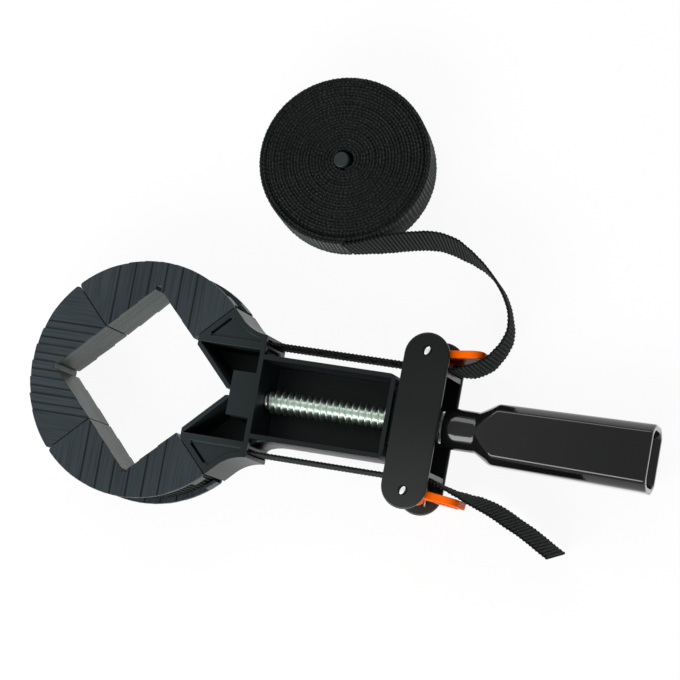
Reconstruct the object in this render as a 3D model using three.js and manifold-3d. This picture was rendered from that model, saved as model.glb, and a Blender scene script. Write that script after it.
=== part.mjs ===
// Strap clamp with four right-angled corner blocks, a screw-driven crosshead and cam strap locks.
// Millimetres, +Z up, +X from the corner blocks to the handle. Z = 0 is the underside of the crosshead.
import * as THREE from 'three';
import { mergeVertices } from 'three/addons/utils/BufferGeometryUtils.js';
import Module from 'manifold-3d';

const wasm = await Module();
wasm.setup();

// Whole clamp
const axisHeight = 16.4;
const mouldingHeight = 30;
const runningGap = 0.3;
const overrun = 1;
const weldDistance = 1e-4;

// Webbing
const strapWidth = 25;
const strapThickness = 1.4;
const strapRunGap = 5.5;
const strapInset = 3.1;
const channelClearance = 0.5;
const strapExit = 0.9;

// Ring of corner blocks
const ringFrontX = -152;
const ringRadius = 57;
const jawWall = 12;
const notchWidth = 3;
const notchSetback = 0.2;
const splitGap = 0.4;
const jawCornerRadius = 1.6;
const lipLength = 6;
const lipDrop = 5.5;
const lipThickness = 1.7;
const ribPitch = 8;
const ribStep = 1.1;
const ribCount = 6;
const ribStart = -25.2;

// Head of the frame
const wallThickness = 2.2;
const floorThickness = 2.5;
const facetInset = 2.45;
const noseHalfWidth = 10.6;
const headReach = 2;
const headBackThickness = 2.4;
const barHeight = 3.3;
const pocketRise = 1.95;
const wingBendShare = 0.575;
const panelDepth = 1;
const panelRim = 2.4;
const slotWidth = 0.9;
const slotOffset = 3.1;
const slotLength = 11.8;
const slotInset = 4.6;
const slotDepth = 8;

// Tub of the frame
const tubHalfWidth = 20;
const tubLength = 65.5;
const tubRearThickness = 2.3;
const tubCornerRadius = 3;
const gussetLength = 11;
const gussetHeight = 3.7;
const gussetDrop = 4;
const nutSize = 17;
const nutThickness = 5.4;
const nutWall = 3;

// Spindle
const threadRadius = 5.9;
const threadDepth = 1.8;
const threadPitch = 3.2;
const threadCrest = 0.5;
const threadRoot = 0.7;
const tipLength = 4;
const tipRadius = 1.5;
const tipBaseRadius = 2.9;
const journalRadius = 4;
const shankReach = 16;

// Crosshead
const plateThickness = 2.5;
const plateWidth = 21.8;
const plateEndReach = 8.6;
const plateSetback = 4.5;
const pinRadius = 2;
const yokeWall = 2.7;
const yokeWebThickness = 5;
const yokeLength = 14.9;
const washerRadius = 8.4;
const washerThickness = 1.5;
const ringClipRadius = 6.6;
const ringClipThickness = 1.2;

// Cam levers and their springs
const camRadius = 5.6;
const camGrowth = 2;
const camToothDepth = 0.45;
const camToothCount = 7;
const hubRadius = 4.4;
const tabReach = 24.8;
const tabThickness = 3.4;
const tabOffset = 1;
const tabDrop = 1.6;
const tabCornerRadius = 6;
const gripRibCount = 5;
const gripRibWidth = 1;
const gripRibHeight = 0.5;
const gripRibPitch = 2.2;
const upperLeverAngle = 8;
const lowerLeverAngle = 6;
const springWire = 0.7;
const springRadius = 3.5;
const springTurns = 3;
const springLeg = 4;

// Handle
const neckSetback = 14.1;
const neckRadius = 9.75;
const neckLength = 17;
const shoulderLength = 9.5;
const handleLength = 100;
const gripFrontRadius = 15.7;
const gripRearRadius = 17;
const gripFrontHalfWidth = 14.5;
const gripRearHalfWidth = 15.9;
const gripFrontHalfHeight = 12;
const gripRearHalfHeight = 12.8;
const gripRearBevel = 1.2;
const gripWall = 2.8;
const gripHollowDepth = 62;
const handlePinRadius = 1.5;
const handlePinInset = 0.4;
const handlePinSetback = 10;

// Wound strap
const rollSetback = 72;
const rollAside = 91.8;
const rollStartRadius = 4.7;
const rollPitch = 1.5;
const rollThickness = 1;
const rollTurns = 24;
const rollEndAngle = -80;
const corePinRadius = 3.8;
const corePinProud = 1;

// Facets: steps of a round shape
const loopSteps = 24;
const threadSteps = 14;
const handleSteps = 40;
const smallSteps = 20;
const arcSteps = 22;
const springSteps = 8;

// Colours and finishes
const finishes = {
  moulding: { color: 0x2b3134, roughness: 0.45, metalness: 0 },
  plate: { color: 0x151617, roughness: 0.35, metalness: 0 },
  gloss: { color: 0x121314, roughness: 0.15, metalness: 0 },
  webbing: { color: 0x17191a, roughness: 0.9, metalness: 0 },
  lever: { color: 0xff5a12, roughness: 0.4, metalness: 0 },
  zinc: { color: 0xc9cdc9, roughness: 0.25, metalness: 1 },
};

// Places along the clamp that several pieces share
const ringCentreX = ringFrontX + ringRadius;
const holeHalfDiagonal = ringRadius - jawWall;
const headBackX = ringCentreX + ringRadius + headReach;
const tubRearX = headBackX + tubLength;
const nutFrontX = tubRearX + runningGap;
const bossRearX = nutFrontX + nutThickness + runningGap;
const threadEndX = bossRearX + runningGap;
const washerFrontX = threadEndX + runningGap;
const yokeFrontX = washerFrontX + washerThickness + runningGap;
const yokeRearX = yokeFrontX + yokeLength;
const crossheadX = yokeFrontX + plateSetback;
const neckStartX = yokeFrontX + neckSetback;
const gripRearX = neckStartX + handleLength;
const strapExitX = yokeRearX + strapExit;
const freeStrapX = strapExitX + runningGap;

// Places across it
const strapRunOffset = tubHalfWidth + strapRunGap + strapThickness / 2;
const camReach = strapThickness / 2 + runningGap + camRadius;
const pinOffset = strapRunOffset + camReach;
const plateLength = 2 * (pinOffset + plateEndReach);
const rollX = freeStrapX - rollSetback;
const rollY = strapRunOffset + rollAside;
const pocketHalfWidth = holeHalfDiagonal / 2 - facetInset + pocketRise;

// Heights that several pieces share
const mouldingBottom = axisHeight - mouldingHeight / 2;
const mouldingTop = axisHeight + mouldingHeight / 2;
const strapBottom = axisHeight - strapWidth / 2;
const strapTop = axisHeight + strapWidth / 2;
const crossheadTop = 2 * axisHeight;
const bayBottom = plateThickness + runningGap;
const bayTop = crossheadTop - bayBottom;
const diagonal = Math.SQRT1_2;

// A closed three.js geometry becomes a solid that can be joined and cut
function toSolid(geometry) {
  const bare = geometry.clone();
  bare.deleteAttribute('normal');
  bare.deleteAttribute('uv');
  const merged = mergeVertices(bare, weldDistance);
  const index = merged.index.array;
  const triangles = [];
  for (let i = 0; i < index.length; i += 3) {
    const [a, b, c] = [index[i], index[i + 1], index[i + 2]];
    if (a !== b && b !== c && c !== a) triangles.push(a, b, c);
  }
  const skin = (order) => new wasm.Manifold(new wasm.Mesh({
    numProp: 3,
    vertProperties: Float32Array.from(merged.attributes.position.array),
    triVerts: Uint32Array.from(order),
  }));
  const solid = skin(triangles);
  return solid.volume() > 0 ? solid : skin([...triangles].reverse());
}

function toGeometry(solid) {
  const mesh = solid.getMesh();
  const geometry = new THREE.BufferGeometry();
  geometry.setAttribute('position', new THREE.BufferAttribute(mesh.vertProperties, 3));
  geometry.setIndex(new THREE.BufferAttribute(mesh.triVerts, 1));
  return geometry;
}

const joined = (first, ...others) => others.reduce((sum, other) => sum.add(other), first);
const cut = (body, ...tools) => tools.reduce((rest, tool) => rest.subtract(tool), body);

// A flat outline, raised from one height to another
function prism(points, bottom, top) {
  const shape = new THREE.Shape(points.map(([x, y]) => new THREE.Vector2(x, y)));
  const geometry = new THREE.ExtrudeGeometry(shape, { depth: top - bottom, bevelEnabled: false, steps: 1 });
  return geometry.translate(0, 0, bottom);
}

const solidPrism = (points, bottom, top) => toSolid(prism(points, bottom, top));

function boxSolid([x0, x1], [y0, y1], [z0, z1]) {
  return solidPrism([[x0, y0], [x1, y0], [x1, y1], [x0, y1]], z0, z1);
}

// Points along an arc, end points included
function arc(centreX, centreY, radius, from, to, steps = arcSteps) {
  return Array.from({ length: steps + 1 }, (_, i) => {
    const angle = from + (to - from) * i / steps;
    return [centreX + radius * Math.cos(angle), centreY + radius * Math.sin(angle)];
  });
}

const degrees = (value) => THREE.MathUtils.degToRad(value);
const mirrored = (points) => points.map(([x, y]) => [x, -y]).reverse();

// A profile of [x, radius] pairs, turned about the spindle axis
function turnedSolid(profile, steps = smallSteps) {
  const points = profile.map(([x, radius]) => new THREE.Vector2(radius, x));
  const geometry = new THREE.LatheGeometry(points, steps);
  return toSolid(geometry.rotateZ(-Math.PI / 2).translate(0, 0, axisHeight));
}

const rod = (radius, from, to, steps) =>
  turnedSolid([[from, 0], [from, radius], [to, radius], [to, 0]], steps);

const collar = (inner, outer, from, to, steps) =>
  cut(rod(outer, from, to, steps), rod(inner, from - overrun, to + overrun, steps));

// A round bar that stands upright
function post(radius, x, y, bottom, top, steps = smallSteps) {
  return solidPrism(arc(x, y, radius, 0, 2 * Math.PI, steps).slice(0, steps), bottom, top);
}

// A block whose section grows evenly from the front to the rear
function taperedBlock(x0, halfWidth0, halfHeight0, x1, halfWidth1, halfHeight1) {
  const geometry = new THREE.BoxGeometry(x1 - x0, 2, 2).translate((x0 + x1) / 2, 0, 0);
  const position = geometry.attributes.position;
  for (let i = 0; i < position.count; i += 1) {
    const rear = position.getX(i) > (x0 + x1) / 2;
    position.setY(i, position.getY(i) * (rear ? halfWidth1 : halfWidth0));
    position.setZ(i, position.getZ(i) * (rear ? halfHeight1 : halfHeight0));
  }
  return toSolid(geometry.translate(0, 0, axisHeight));
}

// A closed skin over rings of equal count, with a flat cap on each end
function skinned(rings) {
  const count = rings[0].length;
  const positions = rings.flat(2);
  const index = [];
  for (let i = 0; i + 1 < rings.length; i += 1) {
    for (let j = 0; j < count; j += 1) {
      const a = i * count + j;
      const b = i * count + (j + 1) % count;
      index.push(a, b, b + count, a, b + count, a + count);
    }
  }
  const last = (rings.length - 1) * count;
  for (let j = 1; j + 1 < count; j += 1) {
    index.push(0, j + 1, j, last, last + j, last + j + 1);
  }
  const geometry = new THREE.BufferGeometry();
  geometry.setAttribute('position', new THREE.Float32BufferAttribute(positions, 3));
  geometry.setIndex(index);
  return geometry;
}

// A flat band along route points, standing on edge; lean tips its upper edge towards its left
function band(route, width, thickness, lean = () => 0) {
  const rings = route.map((point, i) => {
    const before = route[Math.max(i - 1, 0)];
    const after = route[Math.min(i + 1, route.length - 1)];
    const length = Math.hypot(after[0] - before[0], after[1] - before[1]);
    const left = [(before[1] - after[1]) / length, (after[0] - before[0]) / length];
    const tip = lean(i / (route.length - 1));
    const across = [left[0] * Math.cos(tip), left[1] * Math.cos(tip), -Math.sin(tip)];
    const up = [left[0] * Math.sin(tip), left[1] * Math.sin(tip), Math.cos(tip)];
    const corner = (side, height) => [0, 1, 2].map((axis) => point[axis]
      + across[axis] * side * thickness / 2 + up[axis] * height * width / 2);
    return [corner(1, -1), corner(-1, -1), corner(-1, 1), corner(1, 1)];
  });
  return toSolid(skinned(rings));
}

const group = new THREE.Group();

function place(name, solid, finish, parent = group) {
  const geometry = toGeometry(solid);
  geometry.computeVertexNormals();
  const mesh = new THREE.Mesh(geometry, new THREE.MeshStandardMaterial(finish));
  mesh.name = name;
  parent.add(mesh);
  return mesh;
}

// Route of the webbing: round the ring, through the wings of the head and along the tub
const strapRadius = ringRadius - strapInset;
const wingEntry = [ringCentreX + strapRadius * diagonal, strapRadius * diagonal];
const wingDrop = (wingEntry[1] - strapRunOffset) / diagonal;
const wingBendRadius = wingBendShare * wingDrop / (1 / diagonal - 1);
const wingStraight = (1 - wingBendShare) * wingDrop;
const bendStart = [wingEntry[0] + wingStraight * diagonal, wingEntry[1] - wingStraight * diagonal];
const bendCentre = [bendStart[0] + wingBendRadius * diagonal, bendStart[1] + wingBendRadius * diagonal];
const bendAngle = Math.PI / 4;

// The route through a wing, moved outwards by an offset, from the split to the end of its bend
function wingCurve(offset, entryOverrun = 0, steps = arcSteps / 2) {
  const shift = offset * diagonal;
  const back = entryOverrun * diagonal;
  return [
    [wingEntry[0] + shift - back, wingEntry[1] + shift + back],
    ...arc(...bendCentre, wingBendRadius - offset, Math.PI + bendAngle, Math.PI * 3 / 2, steps),
  ];
}

// Frame: head and tub, one moulding
function frameSolid() {
  const split = splitGap / 2 / diagonal;
  const vertexX = ringCentreX + holeHalfDiagonal;
  const facetX = ringCentreX + holeHalfDiagonal / 2 + facetInset;
  const noseX = vertexX + notchSetback;
  const innerX = headBackX - headBackThickness;
  const farX = Math.max(bendCentre[0], headBackX) + overrun;
  const rim = wingCurve(strapInset);
  const halfOutline = [
    [noseX, notchWidth / 2],
    [vertexX - notchWidth / 2, notchWidth / 2],
    [facetX, vertexX - facetX],
    [facetX, facetX - ringCentreX - split],
    [rim[0][0] + split / 2, rim[0][1] - split / 2],
    ...rim.slice(1),
    [farX, strapRunOffset + strapInset],
  ];
  halfOutline.reverse();
  const outline = [...halfOutline, ...mirrored(halfOutline)];
  const head = solidPrism(outline, mouldingBottom, mouldingTop).intersect(
    boxSolid([ringCentreX, headBackX], [-ringRadius, ringRadius], [0, crossheadTop]));

  const vInner = vertexX + wallThickness / diagonal;
  const pocket = [
    [vInner - pocketHalfWidth, pocketHalfWidth],
    [noseX, vInner - noseX],
    [noseX, noseHalfWidth],
    [innerX, noseHalfWidth],
    [innerX, pocketHalfWidth],
  ];
  const barTop = pocketHalfWidth + barHeight;
  const panelEdge = (slotOffset + slotWidth / 2) / diagonal;
  const panelCurve = wingCurve(strapInset - panelRim);
  const panel = [
    [ringCentreX + barTop + panelEdge, barTop],
    [innerX - overrun, barTop],
    ...panelCurve.slice(1).reverse().filter(([x]) => x < innerX - overrun),
    [panelCurve[0][0] + panelEdge / 2, panelCurve[0][1] - panelEdge / 2],
  ];
  const alongSplit = (reach, offset) =>
    [ringCentreX + (reach + offset) * diagonal, (reach - offset) * diagonal];
  const slotEnd = ringRadius - slotInset;
  const slot = [
    alongSplit(slotEnd - slotLength, slotOffset - slotWidth / 2),
    alongSplit(slotEnd - slotLength, slotOffset + slotWidth / 2),
    alongSplit(slotEnd, slotOffset + slotWidth / 2),
    alongSplit(slotEnd, slotOffset - slotWidth / 2),
  ];
  const halfChannel = strapThickness / 2 + channelClearance;
  const channelOuter = wingCurve(halfChannel, overrun);
  const channelInner = wingCurve(-halfChannel, overrun);
  const channel = [
    ...channelOuter,
    [farX, strapRunOffset + halfChannel],
    [farX, strapRunOffset - halfChannel],
    ...channelInner.reverse(),
  ];
  const floor = mouldingBottom + floorThickness;
  const above = mouldingTop + overrun;
  const headCuts = [mirrored, (points) => points].flatMap((side) => [
    solidPrism(side(pocket), floor, above),
    solidPrism(side(panel), mouldingTop - panelDepth, above),
    solidPrism(side(slot), mouldingTop - slotDepth, above),
    solidPrism(side(channel), strapBottom - channelClearance, strapTop + channelClearance),
  ]);

  const corner = tubCornerRadius;
  const tubOutline = [
    [innerX, -tubHalfWidth],
    ...arc(tubRearX - corner, -tubHalfWidth + corner, corner, -Math.PI / 2, 0, smallSteps / 4),
    ...arc(tubRearX - corner, tubHalfWidth - corner, corner, 0, Math.PI / 2, smallSteps / 4),
    [innerX, tubHalfWidth],
  ];
  const innerY = tubHalfWidth - wallThickness;
  const rearInnerX = tubRearX - tubRearThickness;
  const tubInner = boxSolid([headBackX, rearInnerX], [-innerY, innerY], [floor, above]);
  const pocketSize = nutSize + 2 * runningGap;
  const bossSize = pocketSize / 2 + nutWall;
  const boss = boxSolid([rearInnerX, bossRearX], [-bossSize, bossSize],
    [axisHeight - bossSize, axisHeight + bossSize]);
  const nutPocket = boxSolid([tubRearX, bossRearX + overrun], [-pocketSize / 2, pocketSize / 2],
    [axisHeight - pocketSize / 2, axisHeight + pocketSize / 2]);
  const spindleHole = rod(threadRadius + 2 * runningGap, rearInnerX - overrun, bossRearX);
  const tipHole = rod(tipBaseRadius + 2 * runningGap, headBackX - tipLength - runningGap, headBackX + overrun);

  const gussetX = headBackX + gussetLength;
  const gussetY = tubHalfWidth + gussetHeight;
  const gusset = [
    [innerX, innerY],
    [gussetX, innerY],
    ...arc(0, 0, 1, Math.PI * 3 / 2, Math.PI, smallSteps / 4).map(([x, y]) =>
      [gussetX + x * gussetLength, gussetY + y * gussetHeight]),
    [innerX, gussetY],
  ];
  const gussets = [mirrored, (points) => points].map((side) =>
    solidPrism(side(gusset), mouldingBottom, mouldingTop - gussetDrop));

  const tub = joined(solidPrism(tubOutline, mouldingBottom, mouldingTop), ...gussets);
  return cut(joined(cut(head, ...headCuts), cut(tub, tubInner), boss), nutPocket, spindleHole, tipHole);
}

// Corner block, drawn about its own bisector: the ring's centre is the origin
function jawOutline(outer) {
  const split = splitGap / 2 / diagonal;
  const aside = splitGap / 2 + jawCornerRadius;
  const centreAngle = Math.PI / 4 - Math.asin(aside / (outer - jawCornerRadius));
  const centre = [Math.cos(centreAngle), Math.sin(centreAngle)].map((share) => share * (outer - jawCornerRadius));
  const half = [
    [holeHalfDiagonal + notchSetback, notchWidth / 2],
    [holeHalfDiagonal - notchWidth / 2, notchWidth / 2],
    [(holeHalfDiagonal + split) / 2, (holeHalfDiagonal - split) / 2],
    ...arc(...centre, jawCornerRadius, Math.PI * 3 / 4, centreAngle, 3),
  ];
  const rim = arc(0, 0, outer, -centreAngle, centreAngle).slice(1, -1);
  return [...half.map(([x, y]) => [x, -y]), ...rim, ...half.reverse()];
}

// Saw-tooth relief: each strip falls away until the next one starts at full height again
function ribCutter(height, direction) {
  const outline = [[ribStart, height + direction * overrun], [ribStart, height]];
  for (let i = 1; i <= ribCount; i += 1) {
    outline.push([ribStart + i * ribPitch, height - direction * ribStep]);
    outline.push([ribStart + i * ribPitch, height + (i < ribCount ? 0 : direction * overrun)]);
  }
  // The outline lies in Y and Z, and the cutter runs outwards along the bisector
  return toSolid(prism(outline, 0, ringRadius + overrun).rotateY(Math.PI / 2).rotateX(Math.PI / 2));
}

function jawSolid() {
  const flange = (mouldingHeight - strapWidth) / 2 - runningGap;
  const grooveRadius = strapRadius - strapThickness / 2 - runningGap;
  const core = solidPrism(jawOutline(grooveRadius), mouldingBottom, mouldingTop);
  const rims = [[mouldingBottom, mouldingBottom + flange], [mouldingTop - flange, mouldingTop]]
    .map(([bottom, top]) => solidPrism(jawOutline(ringRadius), bottom, top));
  const split = Math.PI / 4 - (splitGap / 2 + jawCornerRadius) / ringRadius;
  const lips = [-1, 1].flatMap((side) => {
    const from = side * split;
    const to = side * (split - lipLength / ringRadius);
    const outerArc = arc(0, 0, ringRadius, Math.min(from, to), Math.max(from, to), 4);
    const innerArc = arc(0, 0, ringRadius - lipThickness, Math.min(from, to), Math.max(from, to), 4);
    const outline = [...outerArc, ...innerArc.reverse()];
    return [
      solidPrism(outline, mouldingBottom + flange / 2, mouldingBottom + flange + lipDrop),
      solidPrism(outline, mouldingTop - flange - lipDrop, mouldingTop - flange / 2),
    ];
  });
  return cut(joined(core, ...rims, ...lips), ribCutter(mouldingTop, 1), ribCutter(mouldingBottom, -1));
}

// Spindle: every column of the thread starts where the last one ended, so the skin is one helix
function spindleSolid(startX, endX, shankEndX) {
  const minorRadius = threadRadius - threadDepth;
  const flank = (threadPitch - threadCrest - threadRoot) / 2;
  const profile = [
    [0, 0], [threadRoot, 0], [threadRoot + flank, threadDepth],
    [threadRoot + flank + threadCrest, threadDepth],
  ];
  const turns = Math.ceil((endX - startX) / threadPitch);
  const columns = Array.from({ length: threadSteps + 1 }, (_, step) => {
    const column = [];
    for (let turn = -2; turn <= turns + 1; turn += 1) {
      profile.forEach(([offset, rise]) => {
        const x = startX + (turn + step / threadSteps) * threadPitch + offset;
        const clamped = Math.min(Math.max(x, startX), endX);
        const fade = Math.min(1, (clamped - startX) / threadPitch, (endX - clamped) / threadPitch);
        const angle = 2 * Math.PI * step / threadSteps;
        const radius = minorRadius + rise * fade;
        column.push([clamped, radius * Math.cos(angle), axisHeight + radius * Math.sin(angle)]);
      });
    }
    return column;
  });
  const positions = columns.slice(0, threadSteps).flat(2);
  const length = columns[0].length;
  const index = [];
  for (let step = 0; step < threadSteps; step += 1) {
    for (let i = 0; i + 1 + profile.length < length; i += 1) {
      const wrap = step + 1 === threadSteps;
      const a = step * length + i;
      const b = a + 1;
      const c = wrap ? i + profile.length : a + length;
      const d = c + 1;
      index.push(a, b, c, b, d, c);
    }
  }
  const startCentre = positions.length / 3;
  positions.push(startX, 0, axisHeight, endX, 0, axisHeight);
  for (let step = 0; step < threadSteps; step += 1) {
    const next = (step + 1) % threadSteps;
    index.push(startCentre, step * length, next * length);
    index.push(startCentre + 1, next * length + length - 1, step * length + length - 1);
  }
  const skin = new THREE.BufferGeometry();
  skin.setAttribute('position', new THREE.Float32BufferAttribute(positions, 3));
  skin.setIndex(index);
  const thread = toSolid(skin);
  const tip = turnedSolid([[startX - tipLength, 0], [startX - tipLength, tipRadius],
    [startX, tipBaseRadius], [startX + overrun, tipBaseRadius], [startX + overrun, 0]], threadSteps);
  const shoulder = rod(threadRadius, endX - overrun, endX, threadSteps);
  const shank = rod(journalRadius, endX - overrun, shankEndX, threadSteps);
  return joined(thread, tip, shoulder, shank);
}

// Crosshead
const yokeOuter = strapRunOffset - strapThickness / 2 - runningGap;

function plateSolid(bottom) {
  const radius = plateWidth / 2;
  const straight = plateLength / 2 - radius;
  const outline = [
    ...arc(crossheadX, straight, radius, 0, Math.PI),
    ...arc(crossheadX, -straight, radius, Math.PI, 2 * Math.PI),
  ];
  const holes = [-1, 1].map((side) => post(pinRadius + runningGap, crossheadX, side * pinOffset,
    bottom - overrun, bottom + plateThickness + overrun));
  return cut(solidPrism(outline, bottom, bottom + plateThickness), ...holes);
}

function yokeSolid() {
  const outline = [
    [yokeFrontX, -yokeOuter], [yokeRearX, -yokeOuter], [yokeRearX, -yokeOuter + yokeWall],
    [yokeFrontX + yokeWebThickness, -yokeOuter + yokeWall],
    [yokeFrontX + yokeWebThickness, yokeOuter - yokeWall],
    [yokeRearX, yokeOuter - yokeWall], [yokeRearX, yokeOuter], [yokeFrontX, yokeOuter],
  ];
  const bore = rod(journalRadius + runningGap, yokeFrontX - overrun, yokeRearX + overrun);
  return cut(solidPrism(outline, bayBottom, bayTop), bore);
}

// Cam lever, drawn about its pin with its tab along +X and the strap on its -Y side
const springSpace = springTurns * springWire * 1.3 + springWire;

function leverSolid() {
  const base = camRadius - camGrowth * camGrowth / (2 * camRadius);
  const from = degrees(-155);
  const to = degrees(-35);
  const lobe = Array.from({ length: 2 * camToothCount + 1 }, (_, i) => {
    const angle = from + (to - from) * i / (2 * camToothCount);
    const radius = base + camGrowth * (angle + Math.PI / 2) - (i % 2 ? 0 : camToothDepth);
    return [radius * Math.cos(angle), radius * Math.sin(angle)];
  });
  const crown = arc(0, 0, hubRadius, degrees(-8), degrees(200), smallSteps / 2);
  const hub = solidPrism([...lobe, ...crown], bayBottom + runningGap, bayTop - springSpace - runningGap);
  const tabBottom = bayBottom + tabDrop;
  const tabTop = bayTop - tabDrop;
  const corner = tabCornerRadius;
  const side = [
    [hubRadius / 2, tabBottom], ...arc(tabReach - corner, tabBottom + corner, corner,
      -Math.PI / 2, 0, smallSteps / 4),
    ...arc(tabReach - corner, tabTop - corner, corner, 0, Math.PI / 2, smallSteps / 4),
    [plateWidth / 2 - pinRadius, tabTop], [plateWidth / 2 - pinRadius, bayTop - springSpace - runningGap],
    [hubRadius / 2, bayTop - springSpace - runningGap],
  ];
  const flat = new THREE.Shape(side.map(([x, z]) => new THREE.Vector2(x, z)));
  const slab = new THREE.ExtrudeGeometry(flat, { depth: tabThickness, bevelEnabled: false, steps: 1 });
  slab.rotateX(Math.PI / 2).translate(0, tabThickness / 2 - tabOffset, 0);
  const ribs = Array.from({ length: gripRibCount }, (_, i) => {
    const x = tabReach - corner / 2 - i * gripRibPitch;
    return boxSolid([x - gripRibWidth, x], [-tabOffset, tabThickness / 2 - tabOffset + gripRibHeight],
      [tabBottom + corner, tabTop - corner]);
  });
  const hole = post(pinRadius + runningGap, 0, 0, 0, crossheadTop);
  return cut(joined(hub, toSolid(slab), ...ribs), hole);
}

// Torsion spring: one unbroken wire round the pin, with a straight leg at each end
function springSolid() {
  const climb = springWire * 1.3;
  const bottom = bayTop - springSpace + springWire / 2;
  const centres = [[springRadius, -springLeg, bottom]];
  for (let i = 0; i <= springTurns * springSteps; i += 1) {
    const angle = 2 * Math.PI * i / springSteps;
    centres.push([springRadius * Math.cos(angle), springRadius * Math.sin(angle),
      bottom + climb * i / springSteps]);
  }
  centres.push([springRadius, springLeg, bottom + climb * springTurns]);
  const rings = centres.map((centre, i) => {
    const before = new THREE.Vector3(...centres[Math.max(i - 1, 0)]);
    const after = new THREE.Vector3(...centres[Math.min(i + 1, centres.length - 1)]);
    const forward = after.sub(before).normalize();
    const side = new THREE.Vector3().crossVectors(forward, new THREE.Vector3(0, 0, 1)).normalize();
    const up = new THREE.Vector3().crossVectors(side, forward);
    return Array.from({ length: 5 }, (_, j) => {
      const angle = 2 * Math.PI * j / 5;
      return [0, 1, 2].map((axis) => centre[axis] + springWire / 2 * (
        side.getComponent(axis) * Math.cos(angle) + up.getComponent(axis) * Math.sin(angle)));
    });
  });
  return toSolid(skinned(rings));
}

// Handle: a turned body with four flats, a neck for the spindle and a hollow rear end
const shoulderStartX = neckStartX + neckLength;
const gripFrontX = shoulderStartX + shoulderLength;
const handlePinX = neckStartX + handlePinSetback;

function handlePinHole(clearance) {
  const length = 2 * (neckRadius + overrun);
  const bar = new THREE.CylinderGeometry(handlePinRadius + clearance, handlePinRadius + clearance,
    length, smallSteps);
  return toSolid(bar.translate(handlePinX, 0, axisHeight));
}

function handleSolid() {
  const bevel = gripRearBevel;
  const body = turnedSolid([
    [neckStartX, 0], [neckStartX, neckRadius], [shoulderStartX, neckRadius],
    [gripFrontX, gripFrontRadius], [gripRearX - bevel, gripRearRadius],
    [gripRearX, gripRearRadius - bevel], [gripRearX, 0],
  ], handleSteps);
  const flats = taperedBlock(neckStartX - overrun,
    gripFrontHalfWidth - (gripRearHalfWidth - gripFrontHalfWidth)
      * (gripFrontX - neckStartX + overrun) / (gripRearX - gripFrontX),
    gripFrontHalfHeight - (gripRearHalfHeight - gripFrontHalfHeight)
      * (gripFrontX - neckStartX + overrun) / (gripRearX - gripFrontX),
    gripRearX + overrun, gripRearHalfWidth, gripRearHalfHeight);
  const hollowFrontX = gripRearX - gripHollowDepth;
  const hollowRound = rod(gripRearRadius - gripWall, hollowFrontX, gripRearX + overrun, handleSteps);
  const hollowFlats = taperedBlock(hollowFrontX, gripFrontHalfWidth - gripWall,
    gripFrontHalfHeight - gripWall, gripRearX + 2 * overrun, gripRearHalfWidth - gripWall,
    gripRearHalfHeight - gripWall);
  const bore = rod(journalRadius + runningGap, neckStartX - overrun, neckStartX + shankReach + runningGap);
  return cut(body.intersect(flats), hollowRound.intersect(hollowFlats), bore, handlePinHole(runningGap));
}

// Webbing beyond the cams: points by hand, in plan, counted from where each end leaves the crosshead;
// the lead comes from the roll to the upper cam, the tail goes from the lower cam to the cut end
const leadRoute = [
  [-64.6, 51.8], [-56, 53.7], [-48, 55.9], [-39.9, 58.1], [-30.3, 60], [-20.5, 60.7], [-10.1, 58.4],
  [0.8, 53.1], [6.5, 49], [12.2, 43.5], [16.6, 37.6], [19.9, 30.8], [21.6, 23.8], [21.2, 18.6],
  [18.6, 12.4], [13.6, 5.8], [6.4, 1.6], [2.6, 0.4], [0, 0],
];
const tailRoute = [
  [0, 0], [3, -1], [7, -2.3], [11, -3.2], [15.2, -4.2], [21.4, -5.8], [27.4, -7.7], [32.9, -10],
  [38, -12.5], [44.1, -15.2], [50.3, -18.5], [55.5, -21.5], [60.2, -24],
];
// Degrees that the upper edge leans to the route's left, at even steps of its length
const leadLeans = [
  0, 1.5, 5, 7.5, 8.6, 9.2, 10.8, 12.6, 13.2, 9.6, 6.4, 4.8, 4, 5.5, 7.2, 5.9, 3.2, 0.6, -2.9, -4, 0,
];
const tailLeans = [0, -3, -7.3, -12.3, -14, -14, -13.8, -13.5, -13.3, -13.2, -13.2];
const tailDrop = 3.4;
const rollHeight = strapWidth / 2;

const eased = (share) => share * share * (3 - 2 * share);

// Value at a share of the way along a list, between its two nearest entries
function along(list, share) {
  const place = Math.min(share, 1) * (list.length - 1);
  const index = Math.min(Math.floor(place), list.length - 2);
  return list[index] + (list[index + 1] - list[index]) * (place - index);
}

function routeCurve(points, side, from, to, steps) {
  const last = points.length - 1;
  const curve = new THREE.CatmullRomCurve3(points.map(([x, y], i) => new THREE.Vector3(
    freeStrapX + x, side * strapRunOffset + y, from + (to - from) * eased(i / last))), false, 'centripetal');
  return curve.getSpacedPoints(steps).map((point) => point.toArray());
}

// The wound strap: one band, loop over loop, from the core pin outwards
function rollRoute() {
  const end = degrees(rollEndAngle);
  const total = rollTurns * loopSteps;
  return Array.from({ length: total + 1 }, (_, i) => {
    const angle = end + 2 * Math.PI * (i - total) / loopSteps;
    const radius = rollStartRadius + rollPitch * i / loopSteps;
    return [rollX + radius * Math.cos(angle), rollY + radius * Math.sin(angle), rollHeight];
  });
}

// Least gap between a loop and the next one out, measured on the points of both faces
function leastRollGap(route) {
  let least = Infinity;
  for (let i = 0; i + loopSteps < route.length; i += 1) {
    const inner = Math.hypot(route[i][0] - rollX, route[i][1] - rollY) + rollThickness / 2;
    for (let j = loopSteps - 1; j <= loopSteps && i + j + 1 < route.length; j += 1) {
      const [a, b] = [route[i + j], route[i + j + 1]];
      const middle = Math.hypot((a[0] + b[0]) / 2 - rollX, (a[1] + b[1]) / 2 - rollY);
      least = Math.min(least, middle - rollThickness / 2 - inner * Math.cos(Math.PI / loopSteps));
    }
  }
  return least;
}

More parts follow.
